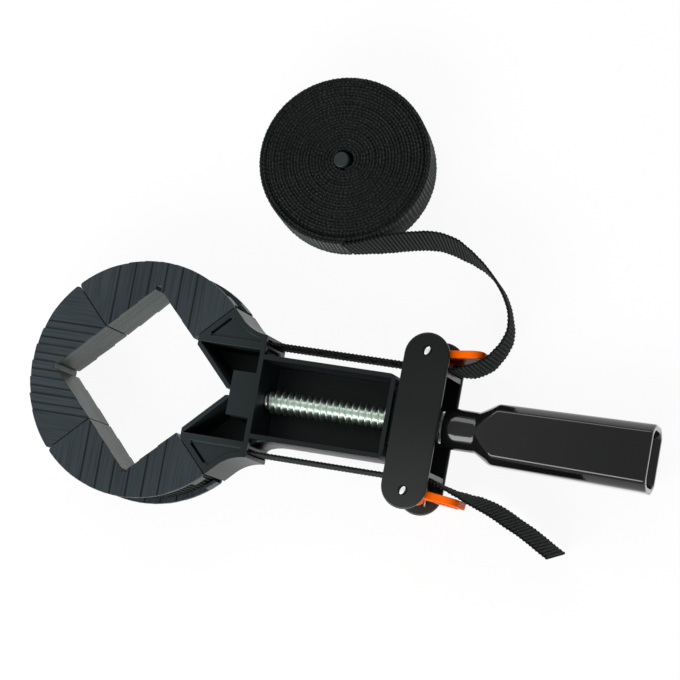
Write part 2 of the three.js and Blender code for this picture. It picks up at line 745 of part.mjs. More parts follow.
// Assembly
const jawDegrees = { jaw_upper: 90, jaw_front: 180, jaw_lower: 270 };

function placeOnRing(name, solid, angle, finish, overturned = false) {
  const seat = new THREE.Group();
  seat.position.set(ringCentreX, 0, axisHeight);
  seat.rotation.z = degrees(angle);
  const turn = new THREE.Group();
  turn.rotation.x = overturned ? Math.PI : 0;
  seat.add(turn);
  const mesh = place(name, solid, finish, turn);
  mesh.position.z = -axisHeight;
  group.add(seat);
}

place('frame_body', frameSolid(), finishes.moulding);

place('spindle_nut', cut(
  boxSolid([nutFrontX, nutFrontX + nutThickness], [-nutSize / 2, nutSize / 2],
    [axisHeight - nutSize / 2, axisHeight + nutSize / 2]),
  rod(threadRadius + runningGap, nutFrontX - overrun, nutFrontX + nutThickness + overrun),
), finishes.zinc);

const jaw = jawSolid();
placeOnRing('jaw_upper', jaw, jawDegrees.jaw_upper, finishes.moulding, true);
placeOnRing('jaw_front', jaw, jawDegrees.jaw_front, finishes.moulding);
placeOnRing('jaw_lower', jaw, jawDegrees.jaw_lower, finishes.moulding);

const strapEdge = Math.PI / 4 - splitGap / 2 / strapRadius;
const jawStrap = band(arc(0, 0, strapRadius, -strapEdge, strapEdge).map(([x, y]) => [x, y, axisHeight]),
  strapWidth, strapThickness);
placeOnRing('strap_jaw_upper', jawStrap, jawDegrees.jaw_upper, finishes.webbing);
placeOnRing('strap_jaw_front', jawStrap, jawDegrees.jaw_front, finishes.webbing);
placeOnRing('strap_jaw_lower', jawStrap, jawDegrees.jaw_lower, finishes.webbing);

const runEntry = [wingEntry[0] + splitGap / 2 * diagonal, wingEntry[1] - splitGap / 2 * diagonal];
const runRoute = [runEntry, ...wingCurve(0).slice(1), [strapExitX, strapRunOffset]]
  .map(([x, y]) => [x, y, axisHeight]);
place('strap_run_upper', band(runRoute, strapWidth, strapThickness), finishes.webbing);
place('strap_run_lower', band(runRoute.map(([x, y, z]) => [x, -y, z]), strapWidth, strapThickness),
  finishes.webbing);

place('yoke', yokeSolid(), finishes.plate);
place('bottom_plate', plateSolid(0), finishes.plate);
place('top_plate', plateSolid(crossheadTop - plateThickness), finishes.plate);

const lever = leverSolid();
const leverSides = { upper: [1, upperLeverAngle], lower: [-1, lowerLeverAngle] };
for (const [side, [sign, angle]] of Object.entries(leverSides)) {
  place(`cam_pin_${side}`, post(pinRadius, crossheadX, sign * pinOffset, 0, crossheadTop), finishes.zinc);
  const seat = new THREE.Group();
  seat.position.set(crossheadX, sign * pinOffset, 0);
  // The lower lever is the upper one turned over about the spindle's direction
  const turn = new THREE.Group();
  turn.position.z = sign > 0 ? 0 : crossheadTop;
  turn.rotation.x = sign > 0 ? 0 : Math.PI;
  const swing = new THREE.Group();
  swing.rotation.z = degrees(angle);
  seat.add(turn);
  turn.add(swing);
  place(`cam_lever_${side}`, lever, finishes.lever, swing);
  place(`lever_spring_${side}`, springSolid(), finishes.zinc, turn);
  group.add(seat);
}

const threadStartX = headBackX + runningGap;
const shankEndX = neckStartX + shankReach;
place('spindle', cut(spindleSolid(threadStartX, threadEndX, shankEndX), handlePinHole(runningGap)),
  finishes.zinc);
place('thrust_washer', collar(journalRadius + runningGap, washerRadius, washerFrontX,
  washerFrontX + washerThickness), finishes.zinc);
const clipX = yokeFrontX + yokeWebThickness + runningGap;
place('retaining_ring', collar(journalRadius + runningGap, ringClipRadius, clipX,
  clipX + ringClipThickness), finishes.zinc);
place('handle_grip', handleSolid(), finishes.gloss);
const pinLength = 2 * (neckRadius - handlePinInset);
place('handle_pin', toSolid(new THREE.CylinderGeometry(handlePinRadius, handlePinRadius, pinLength,
  smallSteps).translate(handlePinX, 0, axisHeight)), finishes.zinc);

const roll = rollRoute();
console.log(`least gap between loops of the wound strap: ${leastRollGap(roll).toFixed(3)} mm`);
place('strap_roll', band(roll, strapWidth, rollThickness), finishes.webbing);
place('roll_core', post(corePinRadius, rollX, rollY, 0, strapWidth + corePinProud), finishes.moulding);
place('strap_lead', band(routeCurve(leadRoute, 1, rollHeight, axisHeight, 40), strapWidth, strapThickness,
  (share) => degrees(along(leadLeans, share))), finishes.webbing);
place('strap_tail', band(routeCurve(tailRoute, -1, axisHeight, axisHeight - tailDrop, 20), strapWidth,
  strapThickness, (share) => degrees(along(tailLeans, share))), finishes.webbing);

export default group;
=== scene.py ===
"""Looks of a frame clamp: webbing round four corner blocks, drawn tight by a screw."""
import logging
import math
from dataclasses import dataclass, field
from enum import Enum
from typing import Any, Callable, Sequence

import bmesh
import bpy
from mathutils import Matrix, Vector


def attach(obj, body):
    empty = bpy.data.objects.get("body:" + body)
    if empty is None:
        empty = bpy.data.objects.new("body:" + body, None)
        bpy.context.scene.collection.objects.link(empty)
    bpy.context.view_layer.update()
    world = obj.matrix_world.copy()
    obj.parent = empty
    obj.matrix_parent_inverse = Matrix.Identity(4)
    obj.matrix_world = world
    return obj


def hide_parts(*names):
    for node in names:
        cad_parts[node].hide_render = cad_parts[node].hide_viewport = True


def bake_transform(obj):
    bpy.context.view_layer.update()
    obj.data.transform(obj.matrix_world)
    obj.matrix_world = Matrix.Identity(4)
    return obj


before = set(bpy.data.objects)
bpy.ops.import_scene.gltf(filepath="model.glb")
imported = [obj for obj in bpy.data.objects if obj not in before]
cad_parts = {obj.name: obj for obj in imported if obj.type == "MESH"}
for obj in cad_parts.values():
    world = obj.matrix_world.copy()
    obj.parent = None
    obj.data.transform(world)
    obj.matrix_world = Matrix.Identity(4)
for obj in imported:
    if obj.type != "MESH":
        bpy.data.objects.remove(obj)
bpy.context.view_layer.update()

LOG = logging.getLogger("frame_clamp")
MM = 0.001
AXIS_HEIGHT = 16.4 * MM
BENCH_HEIGHT = 0.0
DIAGONAL = math.sqrt(0.5)
MERGE_DISTANCE = 1e-6
SHORT_EDGE = 3e-5
THREAD_MERGE = 1e-5
LEAST_PART = 1e-4
FLAT_CORNER = math.radians(150)
SHARP_EDGE = math.radians(25)
FLAT_FACES = math.radians(0.5)
SIDE_ROOM = 2.1
END_ROOM = 1.05
ROUND_SMOOTH = 60.0
UPRIGHT_BELOW = 0.5
SPLINE_STEPS = 24
WANDER_WAVES = ((61, 0), (149, 2), (397, 0))
# Painted highlight on the strap's edges: a steady share and a share that follows the ribs.
EDGE_HIGHLIGHT = (0.45, 0.55)
LEAST_STEP = 1e-9
LAMP_POWER = 4.0
WHITE = (1.0, 1.0, 1.0)
Point = tuple[float, float, float]
Colour = tuple[float, float, float]
Pair = tuple[float, float]
Outline = Sequence[Pair]
Shape = bmesh.types.BMesh
Edges = set[bmesh.types.BMEdge]
Piece = bpy.types.Object


# --- Shader building ---


class Value:
    """An output socket that Python operators join into Math nodes."""

    def __init__(self, tree: "Tree", source: bpy.types.NodeSocket) -> None:
        """Wrap an output of a tree's node."""
        self.tree = tree
        self.source = source

    def _math(self, operation: str, *others: Any) -> "Value":
        """Add one Math node that works on this value and the others."""
        inputs = dict(enumerate((self, *others)))
        return self.tree.node("Math", inputs, operation=operation)

    def __add__(self, other: Any) -> "Value":
        """Sum, with the value on either side."""
        return self._math("ADD", other)

    __radd__ = __add__

    def __sub__(self, other: Any) -> "Value":
        """Difference."""
        return self._math("SUBTRACT", other)

    def __rsub__(self, other: Any) -> "Value":
        """Difference from a number on the left."""
        return self.tree.node("Math", {0: other, 1: self}, operation="SUBTRACT")

    def __mul__(self, other: Any) -> "Value":
        """Product."""
        return self._math("MULTIPLY", other)

    def sine(self) -> "Value":
        """Sine of an angle in radians."""
        return self._math("SINE")

    def power(self, exponent: Any) -> "Value":
        """Power."""
        return self._math("POWER", exponent)

    def absolute(self) -> "Value":
        """Size without sign."""
        return self._math("ABSOLUTE")

    def folded(self, reach: float) -> "Value":
        """The value run up and down between 0 and a reach."""
        return self._math("PINGPONG", reach)

    def swing(self, size: float) -> "Value":
        """A value from 0 to 1 as a swing about 0, of a size in all."""
        return (self - 0.5) * size

    def clamped(self) -> "Value":
        """The value held between 0 and 1."""
        return self.tree.node("Clamp", {0: self})

    def ramped(self, low: float, high: float) -> "Value":
        """How far the value is on its way from low to high, from 0 to 1."""
        return self.tree.node("MapRange", {0: self, 1: low, 2: high})


class Tree:
    """A new material's node tree, built by one method for every kind of node."""

    def __init__(self, name: str) -> None:
        """Start a new material with an empty tree."""
        self.material = bpy.data.materials.new(name)
        self.material.use_nodes = True
        self.nodes = self.material.node_tree.nodes
        self.links = self.material.node_tree.links
        self.nodes.clear()

    def _feed(self, socket: bpy.types.NodeSocket, given: Any) -> None:
        """Link an output to a socket, or set the socket's own value."""
        given = given.source if isinstance(given, Value) else given
        if isinstance(given, bpy.types.NodeSocket):
            self.links.new(given, socket)
        else:
            socket.default_value = given

    def raw(self, kind: str, inputs: dict[Any, Any], **settings: Any) -> bpy.types.Node:
        """Add a node, set it up and feed its sockets.

        Args:
            kind: The node's type, without ShaderNode before it.
            inputs: Values or links by socket name or number.
            settings: Settings of the node, which are set first.

        Returns:
            The node.
        """
        made = self.nodes.new(f"ShaderNode{kind}")
        for key, setting in settings.items():
            setattr(made, key, setting)
        for key, given in inputs.items():
            self._feed(made.inputs[key], given)
        return made

    def node(self, kind: str, inputs: dict[Any, Any], output: Any = 0, **settings: Any) -> Value:
        """Add a node and take one of its outputs, by name or number."""
        return Value(self, self.raw(kind, inputs, **settings).outputs[output])

    def mix(self, share: Any, first: Any, second: Any) -> Value:
        """Mix two colours by the second one's share.

        Args:
            share: The second colour's share, from 0 to 1.
            first: A colour.
            second: Another colour.

        Returns:
            The mixed colour.
        """
        made = self.raw("Mix", {}, data_type="RGBA")
        sockets = [s for s in made.inputs if s.enabled]
        for socket, given in zip(sockets, (share, first, second)):
            self._feed(socket, opaque(given) if isinstance(given, tuple) else given)
        return Value(self, next(s for s in made.outputs if s.enabled))

    def coordinates(self) -> Value:
        """The piece's own coordinates, in metres."""
        return self.node("TexCoord", {}, "Object")

    def stretched(self, scales: Point) -> Value:
        """The piece's own coordinates, scaled along each axis."""
        return self.node("Mapping", {"Vector": self.coordinates(), "Scale": scales})

    def parts(self, vector: Value) -> list[Value]:
        """The three parts of a vector."""
        split = self.raw("SeparateXYZ", {"Vector": vector})
        return [Value(self, part) for part in split.outputs]

    def noise(self, scale: float, detail: float, vector: Value | None = None) -> Value:
        """Soft random variation from 0 to 1, in features per metre and octaves."""
        return self.node("TexNoise", {
            "Vector": vector or self.coordinates(), "Scale": scale, "Detail": detail})

    def bump(self, height: Value, distance: float) -> Value:
        """Turn a relief from 0 to 1, of a depth in metres, into a normal."""
        return self.node("Bump", {
            "Height": height, "Distance": distance, "Strength": 1.0})

    def finish(self, kind: str, inputs: dict[Any, Any]) -> bpy.types.Material:
        """Send a last shader to the surface and hand the material over."""
        self.raw("OutputMaterial", {"Surface": self.node(kind, inputs)})
        return self.material


def opaque(colour: Sequence[float]) -> tuple[float, float, float, float]:
    """A colour with full alpha."""
    return (colour[0], colour[1], colour[2], 1.0)


def linear(*levels: int) -> Colour:
    """Turn screen levels from 0 to 255 into a linear colour."""
    shares = [level / 255 for level in levels]
    return tuple(s / 12.92 if s <= 0.04045 else ((s + 0.055) / 1.055) ** 2.4 for s in shares)


# --- Finishes ---


@dataclass(frozen=True)
class PaintedFade:
    """Painted light and shade: a drift of the colour along one of the piece's own axes, between two
    places in metres.
    """

    axis: int
    start: float
    end: float
    colour: Colour


@dataclass(frozen=True)
class Strips:
    """Painted shade along the edges of stepped strips that run across a piece's top, as thin dark
    lines.
    """

    axis: int
    middle: float
    half_reach: float
    pitch: float = 8 * MM
    width: float = 0.62 * MM
    core_share: float = 0.35
    fade_out: float = 0.1 * MM
    pitches_aside: float = 50.5

    def darkness(self, tree: Tree) -> Value:
        """How much painted shade the surface gets: 1 on a strip's edge, 0 between the edges.

        Args:
            tree: The material's tree.

        Returns:
            The painted shade.
        """
        reach = tree.parts(tree.coordinates())[self.axis] - self.middle
        from_edge = (reach + self.pitch * self.pitches_aside).folded(self.pitch / 2)
        inside = reach.absolute().ramped(self.half_reach + self.fade_out, self.half_reach)
        return from_edge.ramped(self.width, self.width * self.core_share) * inside


@dataclass(frozen=True)
class Plastic:
    """Moulded or painted surface: fine grain, unevenness and drawn lines, with a painted reflection
    on upright faces, painted shade on strip edges and painted drifts of light and shade.
    """

    name: str
    slot: str
    colour: Colour
    rubbed: Colour
    roughness: float
    grain_depth: float = 0.00001
    coat: float = 0.0
    specular: float = 0.3
    lines: Point | None = None
    line_depth: float = 0.00003
    strips: Strips | None = None
    sheen: Colour = (0.88, 1.0, 0.95)
    # Painted reflection: upright faces are lighter than the tops.
    wall: Colour = (0.034, 0.046, 0.043)
    # Painted shade along the stepped strips' edges.
    step_shade: Colour = (0.001, 0.0012, 0.0014)
    painted_fades: tuple[PaintedFade, ...] = ()
    cloud_scale: float = 38.0
    grain_scale: float = 2600.0
    top_scale: float = 1500.0
    wall_scale: float = 1100.0
    wall_stretch: Point = (0.015, 0.015, 1.0)
    cloud_band: Pair = (0.35, 0.75)
    rubbed_share: float = 0.6
    cloud_rough: float = 0.12
    grain_rough: float = 0.08
    line_band: Pair = (0.54, 0.36)
    line_share: float = 0.5
    line_shade: float = 0.3
    line_rough: float = 0.3
    line_grain: float = 0.3
    wall_relief: float = 4
    step_shade_share: float = 0.95

    def build(self) -> bpy.types.Material:
        """Make the material.

        Returns:
            The material.
        """
        tree = Tree(self.name)
        upright = tree.node("Attribute", {}, "Fac", attribute_name="upright")
        cloud = tree.noise(self.cloud_scale, 3.0)
        grain = tree.noise(self.grain_scale, 2.0)
        rubbed = cloud.ramped(*self.cloud_band) * self.rubbed_share
        tint = tree.mix(rubbed, self.colour, self.rubbed)
        rough = cloud.swing(self.cloud_rough) + grain.swing(self.grain_rough) + self.roughness
        relief = tree.bump(grain, self.grain_depth)
        if self.lines:
            tops, walls = (
                tree.noise(scale, 3.0, tree.stretched(scales)) for scale, scales in (
                    (self.top_scale, self.lines), (self.wall_scale, self.wall_stretch)))
            drawn = tops + (walls - tops) * upright
            darker = tuple(c * self.line_shade for c in self.colour)
            tint = tree.mix(drawn.ramped(*self.line_band) * self.line_share, tint, darker)
            # painted reflection: upright faces take the lighter wall colour
            tint = tree.mix(upright, tint, self.wall)
            rough = drawn.swing(self.line_rough) + rough
            relief = tree.bump(
                grain * self.line_grain + drawn * (1 + upright * self.wall_relief), self.line_depth)
        # painted shade: thin dark lines along the stepped strips' edges
        if self.strips:
            edge = self.strips.darkness(tree) * (1 - upright) * self.step_shade_share
            tint = tree.mix(edge, tint, self.step_shade)
        # painted light and shade: slow drifts of tone along the piece's own axes
        if self.painted_fades:
            parts = tree.parts(tree.coordinates())
            for fade in self.painted_fades:
                share = parts[fade.axis].ramped(fade.start, fade.end)
                tint = tree.mix(share, tint, fade.colour)
        return tree.finish("BsdfPrincipled", {
            "Base Color": tint, "Roughness": rough.clamped(), "Coat Roughness": 0.1,
            "Coat Weight": self.coat, "Specular IOR Level": self.specular,
            "Specular Tint": opaque(self.sheen), "Normal": relief})


@dataclass(frozen=True)
class Metal:
    """Plated steel with faint drawn scratches."""

    name: str
    slot: str
    colour: Colour
    roughness: float
    dulled: float
    cloud_scale: float = 160.0
    scratch_scale: float = 5200.0
    scratch_stretch: Point = (1.0, 0.06, 0.06)
    scratch_depth: float = 0.00002
    cloud_band: Pair = (0.3, 0.8)
    cloud_rough: float = 0.2

    def build(self) -> bpy.types.Material:
        """Make the material.

        Returns:
            The material.
        """
        tree = Tree(self.name)
        cloud = tree.noise(self.cloud_scale, 3.0)
        scratch = tree.noise(self.scratch_scale, 2.0, tree.stretched(self.scratch_stretch))
        darker = tuple(c * self.dulled for c in self.colour)
        tint = tree.mix(cloud.ramped(*self.cloud_band), self.colour, darker)
        return tree.finish("BsdfPrincipled", {
            "Base Color": tint, "Metallic": 1.0,
            "Roughness": (cloud.swing(self.cloud_rough) + self.roughness).clamped(),
            "Normal": tree.bump(scratch, self.scratch_depth)})


@dataclass(frozen=True)
class Webbing:
    """Woven strap: dark yarn with a painted highlight on its crests and edges, fine twill and fibre
    fuzz.
    """

    name: str
    slot: str
    hollow: Colour
    crest_highlight: Colour
    yarn_pitch: float
    crest_share: float
    fuzz: float
    specular: float = 0.04
    fibre_scale: float = 2400.0
    relief_depth: float = 0.12 * MM
    roughness: float = 0.72
    fibre_rough: float = 0.2
    crest_power: float = 2.0
    twill_slants: Pair = (1.7, 0.6)
    twill_share: float = 0.07
    relief_share: float = 0.5

    def build(self) -> bpy.types.Material:
        """Make the material; it reads the strap's own map, in metres along and across, and the
        painted highlight that the strap carries.

        Returns:
            The material.
        """
        tree = Tree(self.name)
        flat = tree.node("UVMap", {}, uv_map="strap")
        along, across, _ = tree.parts(flat)
        rise = tree.node("Attribute", {}, "Fac", attribute_name="painted_highlight")
        turn = 2 * math.pi / self.yarn_pitch
        steep, gentle = self.twill_slants
        twill = ((along * steep + across) * turn).sine() * ((across - along * gentle) * turn).sine()
        fibre = tree.noise(self.fibre_scale, 3.0)
        # painted highlight: the crest colour where the strap carries it, patterned by the twill
        crests = rise.power(self.crest_power) * self.crest_share + twill * self.twill_share
        lift = (crests + fibre.swing(self.fuzz)).clamped()
        tint = tree.mix(lift, self.hollow, self.crest_highlight)
        relief = twill * self.relief_share + fibre * self.relief_share
        return tree.finish("BsdfPrincipled", {
            "Base Color": tint,
            "Roughness": (fibre.swing(self.fibre_rough) + self.roughness).clamped(),
            "Specular IOR Level": self.specular, "Normal": tree.bump(relief, self.relief_depth)})


class Finish(Enum):
    """The clamp's finishes."""

    # The blocks' tops carry painted shade on their strip edges, their upright faces a painted
    # reflection.
    BLOCK_ACROSS = Plastic(
        "satin_charcoal_across", "moulding", linear(45, 52, 57), linear(52, 59, 63), 0.42,
        lines=(1.0, 0.02, 0.02), strips=Strips(0, -96.2 * MM, 24.6 * MM))
    BLOCK_ALONG = Plastic(
        "satin_charcoal_along", "moulding", linear(45, 52, 57), linear(52, 59, 63), 0.42,
        lines=(0.02, 1.0, 0.02), strips=Strips(1, 1.2 * MM, 24.6 * MM))
    # Painted shade darkens the moulding towards the tub; painted light lifts its lowest floors.
    MOULDING = Plastic(
        "satin_charcoal", "moulding", linear(30, 36, 39), linear(35, 41, 44), 0.4,
        painted_fades=(PaintedFade(0, -0.060, -0.030, linear(17, 21, 24)),
               PaintedFade(2, 0.026, 0.008, linear(36, 37, 41))))
    CORE = Plastic("core_plastic", "moulding", linear(33, 37, 39), linear(42, 46, 48), 0.45)
    # Painted light: the plates grow lighter towards -Y, the near lamp's side.
    PLATE = Plastic(
        "satin_black_paint", "plate", linear(16, 17, 17), linear(22, 23, 22), 0.32,
        painted_fades=(PaintedFade(1, 0.036, 0.015, linear(22, 24, 23)),
               PaintedFade(1, 0.005, -0.040, linear(44, 46, 45))))
    YOKE = Plastic("black_paint", "plate", linear(14, 15, 15), linear(20, 21, 21), 0.3)
    # Painted shade: the handle darkens towards its rear.
    GLOSS = Plastic(
        "gloss_black", "gloss", linear(20, 21, 20), linear(24, 25, 24), 0.14, 0.0000005, coat=0.9,
        specular=0.1, painted_fades=(PaintedFade(0, 0.075, 0.140, linear(5, 5, 5)),))
    LEVER = Plastic(
        "orange_plastic", "lever", linear(247, 100, 2), linear(250, 110, 6), 0.4, 0.000006,
        specular=0.06)
    # The crest colour is a painted highlight on the ribs and the strap's edges.
    STRAP = Webbing(
        "ribbed_webbing", "webbing", linear(12, 13, 13), linear(84, 92, 89), 0.8 * MM, 0.6, 0.3)
    # The pale crest colour is a painted reflection on the wound loops' edges and crests.
    ROLL_STRAP = Webbing(
        "wound_webbing", "webbing", linear(11, 13, 13), linear(138, 150, 146), 0.8 * MM, 0.62,
        0.8, 0.1)
    ZINC = Metal("zinc_plate", "zinc", linear(232, 244, 235), 0.34, 0.85)
    PIN_FACE = Plastic("blackened_pin", "zinc", linear(20, 21, 21), linear(26, 27, 26), 0.36)
    PIN_END = Metal("polished_zinc", "zinc", linear(250, 252, 255), 0.55, 0.96)


MADE: dict[Finish, bpy.types.Material] = {}


def material_of(finish: Finish) -> bpy.types.Material:
    """The finish's material, made on first use."""
    if finish not in MADE:
        MADE[finish] = finish.value.build()
    return MADE[finish]


# --- Mesh helpers ---


@dataclass(frozen=True)
class Rounding:
    """Rounded edges: width, facets and the reach below which a run of edges stays sharp."""

    width: float
    segments: int = 2
    least_reach: float = 0.0


def placed(name: str, data: bpy.types.ID) -> Piece:
    """Put a new camera, lamp or mesh into the scene.

    Args:
        name: The new object's name.
        data: Its camera, lamp or mesh.

    Returns:
        The object.
    """
    made = bpy.data.objects.new(name, data)
    bpy.context.scene.collection.objects.link(made)
    return made


def placed_mesh(name: str, shape: Shape) -> Piece:
    """Put a bmesh into the scene, and free it.

    Args:
        name: The new object's name.
        shape: The bmesh.

    Returns:
        The object.
    """
    mesh = bpy.data.meshes.new(name)
    shape.to_mesh(mesh)
    shape.free()
    return placed(name, mesh)


def finished(shape: Shape, name: str, finish: Finish, smooth_degrees: float = 32.0) -> Piece:
    """Turn a bmesh into a shaded, dressed object.

    Args:
        shape: The shape, in metres, where it belongs. It is freed.
        name: The piece's name.
        finish: Its finish.
        smooth_degrees: Edges below this angle are shaded smooth.

    Returns:
        The object.
    """
    shape.normal_update()
    upright = shape.faces.layers.float.new("upright")
    for face in shape.faces:
        face[upright] = 1.0 if abs(face.normal.z) < UPRIGHT_BELOW else 0.0
    made = placed_mesh(name, shape)
    mesh = made.data
    mesh.materials.append(material_of(finish))
    mesh.shade_smooth()
    mesh.set_sharp_from_angle(angle=math.radians(smooth_degrees))
    LOG.info("made %s: %d faces", name, len(mesh.polygons))
    return made


def weigh_normals(piece: Piece) -> None:
    """Keep large faces flat beside their rounded edges."""
    modifier = piece.modifiers.new("flat faces", "WEIGHTED_NORMAL")
    modifier.keep_sharp = True


def copy_of_node(node: str) -> Shape:
    """A node's solid, with its loose triangles merged into flat faces.

    Args:
        node: The node.

    Returns:
        The copy.
    """
    shape = bmesh.new()
    shape.from_mesh(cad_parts[node].data)
    bmesh.ops.remove_doubles(shape, verts=shape.verts, dist=MERGE_DISTANCE)
    bmesh.ops.dissolve_limit(shape, angle_limit=FLAT_FACES, verts=shape.verts, edges=shape.edges)
    return shape


def cap_holes(shape: Shape) -> None:
    """Fill every open rim of a shape."""
    rims = [edge for edge in shape.edges if edge.is_boundary]
    bmesh.ops.holes_fill(shape, edges=rims, sides=0)


def cut_at(shape: Shape, place: Point, normal: Point, **cleared: bool) -> None:
    """Cut a shape at a plane; clear_inner or clear_outer names the side to drop."""
    bmesh.ops.bisect_plane(
        shape, geom=[*shape.verts, *shape.edges, *shape.faces], plane_co=place,
        plane_no=normal, **cleared)


def spun(
    shape: Shape, verts: Sequence[bmesh.types.BMVert], steps: int,
    closed: bool = False, angle: float = 2 * math.pi, **settings: Any
) -> None:
    """Join vertices into an outline and turn it round the screw's axis.

    Args:
        shape: The shape that holds the vertices.
        verts: The outline's corners, in order.
        steps: The number of facets.
        closed: Whether the last corner joins the first.
        angle: How far the outline turns, in radians.
        settings: Other settings of the operator.
    """
    ends = [*verts[1:], verts[0]] if closed else verts[1:]
    edges = [shape.edges.new(pair) for pair in zip(verts, ends)]
    bmesh.ops.spin(
        shape, geom=[*verts, *edges], cent=(0.0, 0.0, AXIS_HEIGHT), axis=(1.0, 0.0, 0.0),
        angle=angle, steps=steps, use_duplicate=False, **settings)


def _has_room(edge: bmesh.types.BMEdge, chosen: Edges, width: float) -> bool:
    """Whether an edge can be rounded without its new corners running past their neighbours.

    Args:
        edge: The edge.
        chosen: All the edges that would be rounded.
        width: The rounding's width, in metres.

    Returns:
        True where both of its faces have the room.
    """
    for loop in edge.link_loops:
        shrink = 0.0
        ahead = loop.link_loop_next
        for corner, neighbour in ((loop, loop.link_loop_prev.edge), (ahead, ahead.edge)):
            angle = corner.calc_angle()
            if neighbour in chosen:
                shrink += width / math.tan(angle / 2) if corner.is_convex else 0.0
            elif angle > FLAT_CORNER:
                return False
            elif neighbour.calc_length() < SIDE_ROOM * width / math.sin(angle):
                return False
        if edge.calc_length() < END_ROOM * shrink:
            return False
    return True


def _run_of(edge: bmesh.types.BMEdge, chosen: Edges) -> Edges:
    """The chosen edges that carry on from one another in nearly the same direction.

    Args:
        edge: The edge to start from.
        chosen: The edges that may belong to the run.

    Returns:
        The run, with the first edge.
    """
    run, fresh = {edge}, [edge]
    while fresh:
        here = fresh.pop()
        for vert in here.verts:
            away = (here.other_vert(vert).co - vert.co).normalized()
            for other in vert.link_edges:
                onward = (other.other_vert(vert).co - vert.co).normalized()
                if other in chosen and other not in run and away.angle(onward) > FLAT_CORNER:
                    run.add(other)
                    fresh.append(other)
    return run


def _reach_of(run: Edges) -> float:
    """The longest side of the box round some edges."""
    places = [vert.co for edge in run for vert in edge.verts]
    return max(max(p[axis] for p in places) - min(p[axis] for p in places) for axis in range(3))


def soften(shape: Shape, rounding: Rounding) -> None:
    """Round the shape's sharp edges wherever a whole run of them has room for it.

    Args:
        shape: The shape.
        rounding: How its edges are rounded.
    """
    width = rounding.width
    bmesh.ops.remove_doubles(shape, verts=shape.verts, dist=SHORT_EDGE)
    chosen = {e for e in shape.edges if e.is_manifold and e.calc_face_angle() > SHARP_EDGE}
    for edge in list(chosen):
        if edge in chosen:
            run = _run_of(edge, chosen)
            chosen -= run if _reach_of(run) < rounding.least_reach else set()
    tight = {e for e in chosen if not _has_room(e, chosen, width)}
    while tight:
        for edge in tight:
            if edge in chosen:
                chosen -= _run_of(edge, chosen)
        tight = {e for e in chosen if not _has_room(e, chosen, width)}
    bmesh.ops.bevel(
        shape, geom=list(chosen), offset=width, offset_type="OFFSET", affect="EDGES",
        segments=rounding.segments, profile=0.5, material=-1, clamp_overlap=False)
    bmesh.ops.dissolve_degenerate(shape, edges=shape.edges, dist=MERGE_DISTANCE)


def softened_node(node: str, finish: Finish, body: str, rounding: Rounding) -> None:
    """Dress a node with a copy of itself whose edges are rounded.

    Args:
        node: The node.
        finish: Its finish.
        body: The body it rides on.
        rounding: How its edges are rounded.
    """
    shape = copy_of_node(node)
    soften(shape, rounding)
    piece = finished(shape, f"{node}_moulded", finish)
    weigh_normals(piece)
    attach(piece, body)
    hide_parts(node)


def dress_node(node: str, finish: Finish) -> None:
    """Give a node that keeps its own shape its material.

    Args:
        node: The node.
        finish: Its finish.
    """
    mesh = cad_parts[node].data
    mesh.materials.clear()
    mesh.materials.append(material_of(finish))
    LOG.info("dressed %s", node)


# --- Camera, floor and lights ---


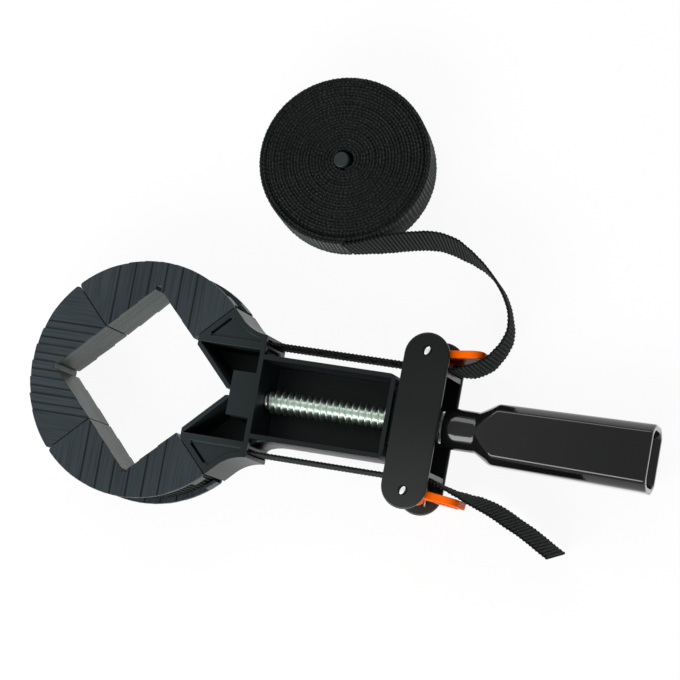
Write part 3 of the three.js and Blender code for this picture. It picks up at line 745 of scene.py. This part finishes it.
@dataclass
class Studio:
    """The photograph's camera, a pale floor and soft light."""

    location: Point = (0.38701, -0.11546, 1.25539)
    backward: Point = (0.29993, -0.11403, 0.94712)
    upward: Point = (-0.13717, 0.97736, 0.16111)
    lens: float = 146.54
    sensor: float = 36.0
    floor_half: float = 3.0
    floor_drop: float = 0.0003
    paper_glow: float = 0.92
    paper: Colour = (0.95, 0.95, 0.95)
    sky: float = 0.44
    far_clip: float = 20.0
    lamps: Sequence[tuple[str, Point, Pair, float]] = (
        ("near_side", (-0.45, -1.12, 0.9), (1.5, 0.7), 5.2),
        ("far_side", (-0.45, 1.15, 0.87), (1.5, 0.6), 2.2))

    def build(self) -> None:
        """Make the camera, the floor, the lamps and the world."""
        self._camera()
        self._floor()
        for lamp in self.lamps:
            self._lamp(*lamp)
        self._world()

    def _camera(self) -> None:
        """Set the camera at the photograph's viewing angle."""
        lens = bpy.data.cameras.new("photograph")
        lens.lens = self.lens
        lens.sensor_width = self.sensor
        lens.clip_end = self.far_clip
        camera = placed("photograph", lens)
        back, up = Vector(self.backward).normalized(), Vector(self.upward)
        right = up.cross(back).normalized()
        turn = Matrix((right, back.cross(right), back)).transposed()
        camera.matrix_world = Matrix.Translation(self.location) @ turn.to_4x4()
        bpy.context.scene.camera = camera

    def _floor(self) -> None:
        """Lay a white floor that keeps the shadow."""
        shape = bmesh.new()
        bmesh.ops.create_grid(shape, x_segments=1, y_segments=1, size=self.floor_half)
        bmesh.ops.translate(shape, verts=shape.verts, vec=(0.0, 0.0, -self.floor_drop))
        floor = placed_mesh("floor", shape)
        tree = Tree("white_paper")
        path = tree.raw("LightPath", {})
        seen, glossy, through = (
            Value(tree, path.outputs[f"Is {kind} Ray"])
            for kind in ("Camera", "Glossy", "Transmission"))
        seen = (seen * self.paper_glow + glossy + through).clamped()
        paper = tree.node("BsdfDiffuse", {"Color": opaque(self.paper)})
        glow = tree.node("Emission", {"Color": opaque(WHITE), "Strength": 1.0})
        lifted = tree.finish("MixShader", {0: seen, 1: paper, 2: glow})
        floor.data.materials.append(lifted)

    def _lamp(self, name: str, place: Point, size: Pair, radiance: float) -> None:
        """Hang a soft box that faces the clamp.

        Args:
            name: Its name.
            place: Where it hangs.
            size: Its width and height, in metres.
            radiance: How bright its face is, where 1 is white.
        """
        light = bpy.data.lights.new(name, "AREA")
        light.shape = "RECTANGLE"
        light.size, light.size_y = size
        light.energy = radiance * LAMP_POWER * size[0] * size[1]
        lamp = placed(name, light)
        lamp.location = place
        lamp.rotation_euler = Vector(place).to_track_quat("Z", "Y").to_euler()

    def _world(self) -> None:
        """Surround the scene with soft white light."""
        world = bpy.data.worlds.new("soft_white")
        bpy.context.scene.world = world
        world.use_nodes = True
        ground = world.node_tree.nodes["Background"]
        ground.inputs["Color"].default_value = opaque(WHITE)
        ground.inputs["Strength"].default_value = self.sky
        bpy.context.scene.view_settings.view_transform = "Standard"


# --- Webbing ---


def distances(line: Sequence[Vector]) -> list[float]:
    """How far along a line each of its points lies.

    Args:
        line: The line's points.

    Returns:
        A distance for each point.
    """
    sums = [0.0]
    for before, after in zip(line, line[1:]):
        sums.append(sums[-1] + (after - before).length)
    return sums


def path_length(line: Sequence[Vector]) -> float:
    """The length of a line through points."""
    return distances(line)[-1]


def evenly(line: Sequence[Vector], steps: int) -> list[tuple[float, int, float]]:
    """Evenly spaced places on a line.

    Args:
        line: The line's points.
        steps: The number of spaces.

    Returns:
        Each place's distance, the index of the point before it and the share of the way on.
    """
    sums = distances(line)
    places, index = [], 0
    for step in range(steps + 1):
        reach = sums[-1] * step / steps
        while index < len(sums) - 2 and sums[index + 1] < reach:
            index += 1
        share = (reach - sums[index]) / (sums[index + 1] - sums[index])
        places.append((reach, index, min(share, 1.0)))
    return places


def cut_line(line: Sequence[Vector], place: float) -> tuple[list[Vector], list[Vector]]:
    """Cut a line in two.

    Args:
        line: The line's points.
        place: The distance along it where it is cut.

    Returns:
        The points up to the cut and those from it on.
    """
    for index, (first, second) in enumerate(zip(line, line[1:])):
        step = (second - first).length
        if place <= step:
            middle = first.lerp(second, place / step)
            return [*line[:index + 1], middle], [middle, *line[index + 1:]]
        place -= step
    return list(line), [line[-1]]


def eased(share: float) -> float:
    """Smooth rise from 0 to 1."""
    return share * share * (3 - 2 * share)


def _between(four: Sequence[Vector], knots: Sequence[float], place: float) -> Vector:
    """A point of the centripetal line between the middle two of four points.

    Args:
        four: The points.
        knots: The line's parameter at each of them.
        place: The parameter of the wanted point.

    Returns:
        The point.
    """

    def blend(low: int, high: int, first: Vector, second: Vector) -> Vector:
        """Blend two points by where the place lies between two knots."""
        return first.lerp(second, (place - knots[low]) / (knots[high] - knots[low]))

    first, middle, last = (blend(i, i + 1, four[i], four[i + 1]) for i in range(3))
    return blend(1, 2, blend(0, 2, first, middle), blend(1, 3, middle, last))


def spline(points: Sequence[Vector], steps: int) -> list[Vector]:
    """Evenly spaced points on a smooth line through given ones.

    Args:
        points: The points that the line passes.
        steps: The number of spaces.

    Returns:
        The line's points.
    """
    fine: list[Vector] = []
    padded = [points[0] * 2 - points[1], *points, points[-1] * 2 - points[-2]]
    for four in zip(padded, padded[1:], padded[2:], padded[3:]):
        knots = [0.0]
        for before, after in zip(four, four[1:]):
            knots.append(knots[-1] + math.sqrt(max((after - before).length, LEAST_STEP)))
        for i in range(SPLINE_STEPS):
            place = knots[1] + (knots[2] - knots[1]) * i / SPLINE_STEPS
            fine.append(_between(four, knots, place))
    fine.append(points[-1].copy())
    return [fine[i].lerp(fine[i + 1], share) for _, i, share in evenly(fine, steps)]


def along(entries: Sequence[float], share: float) -> float:
    """The value at a share of the way along a list, with its entries smoothly joined.

    Args:
        entries: The list.
        share: The share of the way, from 0 to 1.

    Returns:
        The value.
    """
    place = min(max(share, 0.0), 1.0) * (len(entries) - 1)
    index = min(int(place), len(entries) - 2)
    return entries[index] + (entries[index + 1] - entries[index]) * eased(place - index)


@dataclass
class Ribbon:
    """A flat ribbed strap along a line, standing on edge.

    The line is given as points; lean tips the upper edge to the line's left, in radians.
    """

    name: str
    line: Sequence[Vector]
    width: float = 25 * MM
    thickness: float = 1.4 * MM
    rib_pitch: float = 1.9 * MM
    rib_height: float = 0.34 * MM
    rib_sharpness: float = 1.5
    scallop: float = 0.22 * MM
    steps_per_rib: int = 6
    lean: Callable[[float], float] = field(default=lambda share: 0.0)
    shear: Pair = (0.0, 0.0)
    wander: float = 0.0
    # Shares of the painted highlight on the strap's edges and beside them.
    edge_highlight: float = 0.6
    edge_share: float = 0.35
    left_ribs: float = 1.0
    shoulder_highlight: float = 0.9
    shoulder_depth: float = 0.9

    def _section(self) -> list[tuple[float, float, float, float]]:
        """The section's corners: side, height, and shares of a rib's depth and of its painted
        highlight.

        Returns:
            The corners, in order round the section.
        """
        half, edge = self.width / 2, self.thickness * self.edge_share
        shoulder, middle = (self.shoulder_depth, self.shoulder_highlight), (1.0, 1.0)
        rows = (
            (-half + edge, *shoulder), (0.0, *middle), (half - edge * 2, *middle),
            (half - edge, *shoulder))
        return [
            *((1.0, *row) for row in rows), (0.0, half, 0.0, 0.0),
            *((-1.0, *row) for row in rows[::-1]), (0.0, -half, 0.0, 0.0)]

    def _rib(self, reach: float) -> float:
        """How far a rib rises at a distance along the strap, from 0 to 1.

        Args:
            reach: The distance.

        Returns:
            The rise.
        """
        drift = self.wander * sum(math.sin(reach * rate + shift) for rate, shift in WANDER_WAVES)
        wave = math.cos(2 * math.pi * reach / self.rib_pitch + drift)
        return (0.5 + 0.5 * wave) ** self.rib_sharpness

    def build(self, finish: Finish) -> Piece:
        """Make the strap, with its map and the attribute that carries its painted highlight.

        Args:
            finish: Its finish.

        Returns:
            The strap.
        """
        total, last = path_length(self.line), len(self.line) - 1
        rows = max(2, round(total / self.rib_pitch * self.steps_per_rib))
        section, places = self._section(), evenly(self.line, rows)
        tangents = [
            (self.line[min(i + 1, last)] - self.line[max(i - 1, 0)]).normalized()
            for i in range(last + 1)]
        perimeter = 2 * (self.width + self.thickness)
        steady, waving = EDGE_HIGHLIGHT
        shape = bmesh.new()
        flat = shape.loops.layers.uv.new("strap")
        bmesh.ops.create_grid(shape, x_segments=rows, y_segments=len(section), size=1.0)
        shape.verts.ensure_lookup_table()
        highlight_layer = shape.verts.layers.float.new("painted_highlight")
        columns: dict[int, Pair] = {}
        for vert in shape.verts:
            turn = round((vert.co.y + 1) / 2 * len(section))
            side, height, carried, shown = section[turn % len(section)]
            reach, index, share = places[round((vert.co.x + 1) / 2 * rows)]
            centre = self.line[index].lerp(self.line[index + 1], share)
            ahead = tangents[index].lerp(tangents[index + 1], share)
            left = Vector((-ahead.y, ahead.x, 0.0)).normalized()
            tip = self.lean(reach / total)
            across = left * math.cos(tip) - Vector((0.0, 0.0, math.sin(tip)))
            up = left * math.sin(tip) + Vector((0.0, 0.0, math.cos(tip)))
            rib = self._rib(reach)
            depth = self.rib_height * (self.left_ribs if side > 0 else 1.0)
            swell = self.thickness / 2 - depth * (1 - rib) * carried
            stretch = 1 + self.scallop * (rib - 1) / (self.width / 2)
            slide = Vector((*self.shear, 0.0)) * (height / self.width)
            vert.co = centre + across * side * swell + up * height * stretch + slide
            vert.co.z = max(vert.co.z, BENCH_HEIGHT)
            # painted highlight: on the broad faces at the rib crests, on the edges a lighter tone
            vert[highlight_layer] = rib * shown if side else self.edge_highlight * (steady + waving * rib)
            columns[vert.index] = (reach, perimeter * turn / len(section))
        for face in shape.faces:
            for loop in face.loops:
                loop[flat].uv = columns[loop.vert.index]
        bmesh.ops.remove_doubles(shape, verts=shape.verts, dist=MERGE_DISTANCE)
        cap_holes(shape)
        bmesh.ops.recalc_face_normals(shape, faces=shape.faces)
        return finished(shape, self.name, finish, ROUND_SMOOTH)


@dataclass
class StrapSet:
    """All the webbing: the wound roll, its lead, the cut tail, the runs and the ring."""

    ring_x: float = -95 * MM
    ring_radius: float = 53.9 * MM
    run_offset: float = 26.2 * MM
    wing_share: float = 0.575
    exit_x: float = 54 * MM
    roll_x: float = -18 * MM
    roll_y: float = 118 * MM
    roll_start: float = 4.7 * MM
    roll_pitch: float = 1.5 * MM
    roll_turns: int = 24
    roll_end: float = math.radians(-80)
    roll_height: float = 12.5 * MM
    roll_thickness: float = 1.6 * MM
    roll_oval: Pair = (1.045, 0.985)
    roll_tilt: Pair = (3.0 * MM, 1.1 * MM)
    roll_steps: int = 48
    roll_waves: Sequence[Point] = ((0.16, 2.3, 0.0), (0.1, 7.1, 1.0))
    roll_lowered: float = 0.16
    sunk_loop: Point = (1.1, 1.9, 0.5)
    core_edge: Rounding = Rounding(0.8 * MM, 4)
    split_gap: float = 0.4 * MM
    stretch_half: float = 14 * MM
    lead_route: Outline = (
        (-64.6, 51.8), (-56, 53.7), (-48, 55.9), (-39.9, 58.1), (-30.3, 60), (-20.5, 60.7),
        (-10.1, 58.4), (0.8, 53.1), (6.5, 49), (12.2, 43.5), (16.6, 37.6), (19.9, 30.8),
        (21.6, 23.8), (21.2, 18.6), (18.6, 12.4), (13.6, 5.8), (6.4, 1.6), (2.6, 0.4), (0.0, 0.0))
    tail_route: Outline = (
        (0.0, 0.0), (3, -1), (7, -2.3), (11, -3.2), (15.2, -4.2), (21.4, -5.8), (27.4, -7.7),
        (32.9, -10), (38, -12.5), (44.1, -15.2), (50.3, -18.5), (55.5, -21.5), (60.2, -24))
    lead_leans: Sequence[float] = (
        0, 1.5, 5, 7.5, 8.6, 9.2, 10.8, 12.6, 13.2, 9.6, 6.4, 4.8, 4, 5.5, 7.2, 5.9, 3.2, 0.6,
        -2.9, -4, 0)
    tail_leans: Sequence[float] = (
        0, -3, -7.3, -12.3, -14, -14, -13.8, -13.5, -13.3, -13.2, -13.2)
    tail_drop: float = 3.4 * MM
    lead_in: float = 14 * MM
    lead_in_steps: int = 8
    run_steps: int = 10
    drawn_out: float = 13 * MM
    exit_gap: float = 0.3 * MM
    lead_steps: int = 160
    tail_steps: int = 80
    bend_steps: int = 12
    arc_step: float = 3.0

    def _free(self, route: Outline, side: float, low: float, high: float) -> list[Vector]:
        """Place a route that is counted from where the strap leaves the crosshead.

        Args:
            route: Points in millimetres.
            side: 1 for the upper strap, -1 for the lower.
            low: Height at the route's start.
            high: Height at its end.

        Returns:
            The points in metres.
        """
        last = len(route) - 1
        return [
            Vector((
                self.exit_x + x * MM, side * self.run_offset + y * MM,
                low + (high - low) * eased(i / last)))
            for i, (x, y) in enumerate(route)]

    def roll(self) -> None:
        """The wound strap, loop over loop round its core."""
        total = self.roll_turns * self.roll_steps
        depth, from_end, spread = self.sunk_loop
        line = []
        for i in range(total + 1):
            angle = self.roll_end + 2 * math.pi * (i - total) / self.roll_steps
            turn = i / self.roll_steps
            radius = self.roll_start + self.roll_pitch * turn
            waves = (size * math.sin(rate * turn + shift) for size, rate, shift in self.roll_waves)
            uneven = sum(waves) - self.roll_lowered
            sunk = depth * math.exp(-((turn - self.roll_turns + from_end) / spread) ** 2)
            line.append(Vector((
                self.roll_x + self.roll_oval[0] * radius * math.cos(angle),
                self.roll_y + self.roll_oval[1] * radius * math.sin(angle),
                self.roll_height + (uneven - sunk) * MM)))
        # The roll's loops carry a painted reflection on their top edges.
        ribbon = Ribbon(
            "strap_roll_wound", line, thickness=self.roll_thickness, steps_per_rib=4,
            rib_height=0.22 * MM, left_ribs=0.0, shear=self.roll_tilt, wander=1.6,
            edge_highlight=0.44, scallop=0.14 * MM, shoulder_highlight=0.38)
        length = path_length(line)
        piece = ribbon.build(Finish.ROLL_STRAP)
        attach(piece, "crosshead")
        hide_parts("strap_roll")
        LOG.info("the roll holds %.2f m", length)

    def lead(self) -> None:
        """The free S between the roll and the upper cam, on through the cam's gap."""
        points = self._free(self.lead_route, 1.0, self.roll_height, AXIS_HEIGHT)
        line = spline(points, self.lead_steps)
        ahead = Vector((-1.0, 0.0, 0.0))
        line += [
            line[-1] + ahead * self.lead_in * i / self.lead_in_steps
            for i in range(1, self.lead_in_steps + 1)]
        share_out = 1 - self.lead_in / path_length(line)
        ribbon = Ribbon(
            "strap_lead_ribbed", line,
            lean=lambda share: math.radians(along(self.lead_leans, share / share_out)))
        piece = ribbon.build(Finish.STRAP)
        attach(piece, "crosshead")
        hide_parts("strap_lead")
        path_length(line)

    def tail(self) -> None:
        """The cut end beyond the lower cam."""
        points = self._free(self.tail_route, -1.0, AXIS_HEIGHT, AXIS_HEIGHT - self.tail_drop)
        line = spline(points, self.tail_steps)
        ribbon = Ribbon(
            "strap_tail_ribbed", line,
            lean=lambda share: math.radians(along(self.tail_leans, share)))
        piece = ribbon.build(Finish.STRAP)
        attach(piece, "crosshead")
        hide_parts("strap_tail")
        path_length(line)

    def _through_wing(self, side: float) -> list[Vector]:
        """The strap's line through a wing, from the ring to the tub's side (upper 1, lower -1).

        Args:
            side: The wing's side.

        Returns:
            The line's points.
        """
        entry = self.ring_radius * DIAGONAL
        drop = (entry - self.run_offset) / DIAGONAL
        bend = self.wing_share * drop / (1 / DIAGONAL - 1)
        straight = (1 - self.wing_share) * drop
        start = Vector((self.ring_x + entry, entry, AXIS_HEIGHT))
        knee = start + Vector((DIAGONAL, -DIAGONAL, 0.0)) * straight
        centre = knee + Vector((DIAGONAL, DIAGONAL, 0.0)) * bend
        line = [start, knee]
        for i in range(1, self.bend_steps + 1):
            angle = math.pi * 5 / 4 + math.pi / 4 * i / self.bend_steps
            line.append(centre + Vector((math.cos(angle), math.sin(angle), 0.0)) * bend)
        return [Vector((p.x, side * p.y, p.z)) for p in line]

    def run(self, side: float, node: str) -> None:
        """The stretch out of a wing and along the tub.

        Args:
            side: 1 for the upper strap, -1 for the lower.
            node: The node that it takes the place of.
        """
        _, line = cut_line(self._through_wing(side), self.drawn_out + self.split_gap)
        last = line[-1]
        span = self.exit_x - self.exit_gap - last.x
        line += [
            last + Vector((span * i / self.run_steps, 0.0, 0.0))
            for i in range(1, self.run_steps + 1)]
        piece = Ribbon(f"{node}_ribbed", line).build(Finish.STRAP)
        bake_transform(piece)
        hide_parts(node)

    def arc(self, start: float, end: float) -> list[Vector]:
        """The ring's line between two angles, in degrees.

        Args:
            start: The first angle.
            end: The last angle.

        Returns:
            The line's points.
        """
        steps = max(4, round(abs(end - start) / self.arc_step))
        angles = [math.radians(start + (end - start) * i / steps) for i in range(steps + 1)]
        return [
            Vector((
                self.ring_x + self.ring_radius * math.cos(angle),
                self.ring_radius * math.sin(angle), AXIS_HEIGHT))
            for angle in angles]

    def ring(self) -> None:
        """The strap round the corner blocks.

        A spare length in each wing is drawn out of it.
        """
        drawn_up, drawn_down = (
            cut_line(self._through_wing(side), self.drawn_out)[0] for side in (1.0, -1.0))
        upper = Ribbon("strap_ring_upper", [*drawn_up[::-1], *self.arc(45.0, 90.0)[1:]])
        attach(upper.build(Finish.STRAP), "jaw_upper_block")
        spans = (
            ("rear", 90.0, "jaw_upper_block", "jaw_front_block",
             ("strap_jaw_upper", "strap_jaw_front")),
            ("front", 180.0, "jaw_front_block", "jaw_lower_block", ("strap_jaw_lower",)),
        )
        for name, start, first, second, nodes in spans:
            line = self.arc(start, start + 90.0)
            piece = Ribbon(f"strap_ring_{name}", line).build(Finish.STRAP)
            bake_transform(piece)
            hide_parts(*nodes)
        lower = Ribbon("strap_ring_lower", [*self.arc(270.0, 315.0)[:-1], *drawn_down])
        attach(lower.build(Finish.STRAP), "jaw_lower_block")

    def build(self) -> None:
        """Make all the webbing, the free lengths first."""
        self.lead()
        self.roll()
        self.tail()
        self.run(1.0, "strap_run_upper")
        self.run(-1.0, "strap_run_lower")
        self.ring()
        softened_node("roll_core", Finish.CORE, "crosshead", self.core_edge)


# --- Rigid sub-assemblies ---


@dataclass
class CornerBlocks:
    """The three loose corner blocks."""

    edge: Rounding = Rounding(0.35 * MM)

    def build(self) -> None:
        """Dress each block with rounded edges."""
        for side in ("upper", "front", "lower"):
            finish = Finish.BLOCK_ALONG if side == "front" else Finish.BLOCK_ACROSS
            softened_node(f"jaw_{side}", finish, f"jaw_{side}_block", self.edge)


@dataclass
class FrameHead:
    """The moulding with the fixed corner, the wings and the tub, and its captive nut."""

    edge: Rounding = Rounding(0.3 * MM, 3)

    def build(self) -> None:
        """Dress the moulding and its nut."""
        softened_node("frame_body", Finish.MOULDING, "frame", self.edge)
        dress_node("spindle_nut", Finish.ZINC)


@dataclass
class Crosshead:
    """Two link plates, the yoke between them, the cam pins and the screw's washers."""

    plate_edge: Rounding = Rounding(0.9 * MM, 4, 10 * MM)
    pin_edge: Rounding = Rounding(0.12 * MM)
    yoke_edge: Rounding = Rounding(0.4 * MM)
    pin_x: float = 42.4 * MM
    pin_offset: float = 32.8 * MM
    height: float = 32.8 * MM
    stud: Point = (2.3 * MM, 4.1 * MM, 0.3 * MM)
    stud_sunk: float = 0.02 * MM
    stud_turn: float = math.radians(-24)

    def _stud(self, side: str, sign: float) -> None:
        """Rivet a pin's end over: a small bright oval dome on the pin's face.

        Args:
            side: The pin's side, as its name says it.
            sign: 1 for the upper pin, -1 for the lower.
        """
        shape = bmesh.new()
        bmesh.ops.create_uvsphere(shape, u_segments=32, v_segments=16, radius=0.5)
        cut_at(shape, (0, 0, 0), (0, 0, 1), clear_inner=True)
        cap_holes(shape)
        width, length, height = self.stud
        bmesh.ops.scale(shape, verts=shape.verts, vec=(width, length, height * 2))
        turn = Matrix.Rotation(self.stud_turn, 3, "Z")
        bmesh.ops.rotate(shape, verts=shape.verts, cent=(0, 0, 0), matrix=turn)
        place = (self.pin_x, sign * self.pin_offset, self.height - self.stud_sunk)
        bmesh.ops.translate(shape, verts=shape.verts, vec=place)
        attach(finished(shape, f"cam_pin_{side}_end", Finish.PIN_END), "crosshead")

    def build(self) -> None:
        """Dress the crosshead."""
        for node in ("top_plate", "bottom_plate"):
            softened_node(node, Finish.PLATE, "crosshead", self.plate_edge)
        softened_node("yoke", Finish.YOKE, "crosshead", self.yoke_edge)
        for side, sign in (("upper", 1.0), ("lower", -1.0)):
            softened_node(f"cam_pin_{side}", Finish.PIN_FACE, "crosshead", self.pin_edge)
            self._stud(side, sign)
            dress_node(f"lever_spring_{side}", Finish.ZINC)
        dress_node("thrust_washer", Finish.ZINC)


@dataclass
class CamLevers:
    """The two orange cam levers."""

    edge: Rounding = Rounding(0.35 * MM, 3)

    def build(self) -> None:
        """Dress the levers."""
        for side in ("upper", "lower"):
            softened_node(f"cam_lever_{side}", Finish.LEVER, f"lever_{side}", self.edge)


@dataclass
class Screw:
    """The coarse spindle and what turns with it."""

    start_x: float = -35.7 * MM
    end_x: float = 35.8 * MM
    core_radius: float = 3.75 * MM
    pitch: float = 3.2 * MM
    spare_turns: int = 2
    plain_edge: Rounding = Rounding(0.15 * MM)
    steps: int = 40
    collar_steps: int = 48
    profile: Outline = (
        (0.0, 0.04), (0.3, 0.0), (0.6, 0.04), (0.85, 0.35), (1.45, 1.8), (1.62, 2.07),
        (1.85, 2.15), (2.08, 2.07), (2.25, 1.8), (2.95, 0.35), (3.2, 0.04))
    collar: Outline = (
        (50.0, 4.3), (50.0, 7.3), (50.3, 7.6), (51.5, 7.6), (51.8, 7.3), (51.8, 4.3))

    def _thread(self) -> Shape:
        """Sweep one pitch of the thread's outline along its helix and cut both ends square.

        Returns:
            The threaded part.
        """
        shape = bmesh.new()
        turns = math.ceil((self.end_x - self.start_x) / self.pitch) + 2 * self.spare_turns
        first = self.start_x - self.spare_turns * self.pitch
        verts = [
            shape.verts.new((first + x * MM, self.core_radius + rise * MM, AXIS_HEIGHT))
            for x, rise in self.profile]
        spun(shape, verts, self.steps * turns, angle=2 * math.pi * turns,
             dvec=(self.pitch / self.steps, 0.0, 0.0))
        bmesh.ops.remove_doubles(shape, verts=shape.verts, dist=THREAD_MERGE)
        for place, side in ((self.start_x, -1.0), (self.end_x, 1.0)):
            cut_at(shape, (place, 0, 0), (side, 0, 0), clear_outer=True)
        for vert in shape.verts:
            arm = Vector((0.0, vert.co.y, vert.co.z - AXIS_HEIGHT))
            fade = min(1.0, (vert.co.x - self.start_x) / self.pitch)
            radius = self.core_radius + (arm.length - self.core_radius) * fade
            arm *= radius / arm.length
            vert.co.y, vert.co.z = arm.y, AXIS_HEIGHT + arm.z
        cap_holes(shape)
        bmesh.ops.recalc_face_normals(shape, faces=shape.faces)
        return shape

    def _plain_end(self, name: str, place: float, side: float) -> None:
        """Keep the spindle's smooth part beyond one end of its thread.

        Args:
            name: The piece's name.
            place: Where the part is cut off, along the spindle.
            side: 1 to keep what lies in front of the place, -1 for what lies behind it.
        """
        shape = copy_of_node("spindle")
        cut_at(shape, (place, 0, 0), (side, 0, 0), clear_inner=True)
        cap_holes(shape)
        soften(shape, self.plain_edge)
        piece = finished(shape, name, Finish.ZINC)
        weigh_normals(piece)
        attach(piece, "handle")
        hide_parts("spindle")

    def _collar(self) -> None:
        """Turn the bright collar in front of the handle's neck."""
        shape = bmesh.new()
        verts = [
            shape.verts.new((x * MM, radius * MM, AXIS_HEIGHT)) for x, radius in self.collar]
        spun(shape, verts, self.collar_steps, closed=True, use_merge=True)
        bmesh.ops.recalc_face_normals(shape, faces=shape.faces)
        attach(finished(shape, "spindle_collar", Finish.ZINC), "handle")

    def build(self) -> None:
        """Make the spindle; dress its ring and its cross pin."""
        thread = finished(self._thread(), "spindle_thread", Finish.ZINC, ROUND_SMOOTH)
        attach(thread, "handle")
        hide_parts("spindle")
        self._plain_end("spindle_tip", self.start_x, -1.0)
        self._plain_end("spindle_shank", self.end_x, 1.0)
        self._collar()
        for node in ("retaining_ring", "handle_pin"):
            dress_node(node, Finish.ZINC)


@dataclass
class Handle:
    """The hollow handle: a turned body that four flats cut into, with soft edges between them."""

    front_x: float = 78.5 * MM
    rear_x: float = 152 * MM
    half_width: Pair = (14.5 * MM, 15.9 * MM)
    half_height: Pair = (12.0 * MM, 12.8 * MM)
    softness: float = 0.32 * MM
    steps: int = 360
    body_steps: int = 20
    cut_from_x: float = 53 * MM
    smooth_degrees: float = 40.0
    wall: float = 2.8
    body_end: Pair = (151, 17.0)
    inner_places: Sequence[float] = (140, 120, 100, 90)
    bore: Outline = ((68.3, 0.0), (68.3, 4.3), (53.4, 4.3))
    outside: Outline = (
        (53.4, 9.2), (53.55, 9.6), (53.9, 9.75), (60, 9.75), (68.2, 9.75), (69.0, 9.85),
        (69.8, 10.25), (72, 11.6), (74, 12.85), (76, 14.1), (77.2, 14.85), (78.2, 15.4),
        (79.0, 15.66), (80, 15.73))
    rim: Outline = (
        (151.2, 0.0), (151.6, 0.12), (151.88, 0.4), (152.0, 0.8), (152.0, 2.3), (151.88, 2.6),
        (151.5, 2.8))

    def _rows(self) -> list[tuple[float, float, float]]:
        """The outline to turn, as places along the handle, radii and distances in from the skin.

        Returns:
            The outline's corners.
        """
        rows = [(x, radius, 0.0) for x, radius in (*self.bore, *self.outside)]
        (start_x, start), (end_x, end) = self.outside[-1], self.body_end
        for i in range(1, self.body_steps):
            share = i / self.body_steps
            rows.append((start_x + share * (end_x - start_x), start + (end - start) * share, 0.0))
        rows += [(x, end - depth, depth) for x, depth in self.rim]
        rows += [(x, end - self.wall, self.wall) for x in self.inner_places]
        rows.append((self.inner_places[-1], 0.0, self.wall))
        return [(x * MM, radius * MM, depth * MM) for x, radius, depth in rows]

    def _radius(self, x: float, radius: float, depth: float, angle: float) -> float:
        """How far out from the axis the skin lies once the flats have cut into it.

        Args:
            x: The place along the handle.
            radius: The turned radius there.
            depth: The distance in from the outer skin.
            angle: The direction round the handle, from its side.

        Returns:
            The distance from the axis.
        """
        share = (x - self.front_x) / (self.rear_x - self.front_x)
        reaches = [radius]
        cuts = ((self.half_width, math.cos(angle)), (self.half_height, math.sin(angle)))
        for (front, rear), part in cuts:
            reaches.append((front + (rear - front) * share - depth) / max(abs(part), LEAST_PART))
        nearest = min(reaches)
        return nearest - self.softness * math.log(
            sum(math.exp((nearest - reach) / self.softness) for reach in reaches))

    def build(self) -> None:
        """Turn the handle and cut its flats."""
        shape = bmesh.new()
        depths = shape.verts.layers.float.new("depth")
        rows = self._rows()
        verts = [shape.verts.new((x, radius, AXIS_HEIGHT)) for x, radius, _ in rows]
        for vert, (_, _, depth) in zip(verts, rows):
            vert[depths] = depth
        spun(shape, verts, self.steps, use_merge=True)
        bmesh.ops.remove_doubles(shape, verts=shape.verts, dist=MERGE_DISTANCE)
        for vert in shape.verts:
            y, z = vert.co.y, vert.co.z - AXIS_HEIGHT
            radius = math.hypot(y, z)
            if radius > MM and vert.co.x > self.cut_from_x:
                reach = self._radius(vert.co.x, radius, vert[depths], math.atan2(z, y))
                vert.co.y, vert.co.z = y * reach / radius, AXIS_HEIGHT + z * reach / radius
        bmesh.ops.recalc_face_normals(shape, faces=shape.faces)
        piece = finished(shape, "handle_grip_turned", Finish.GLOSS, self.smooth_degrees)
        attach(piece, "handle")
        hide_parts("handle_grip")


def main() -> None:
    """Build the clamp's looks in order."""
    logging.basicConfig(level=logging.INFO)
    Studio().build()
    StrapSet().build()
    for part in (CornerBlocks(), FrameHead(), Crosshead(), CamLevers(), Screw(), Handle()):
        part.build()
        LOG.info("built %s", type(part).__name__)


if __name__ == "__main__":
    main()
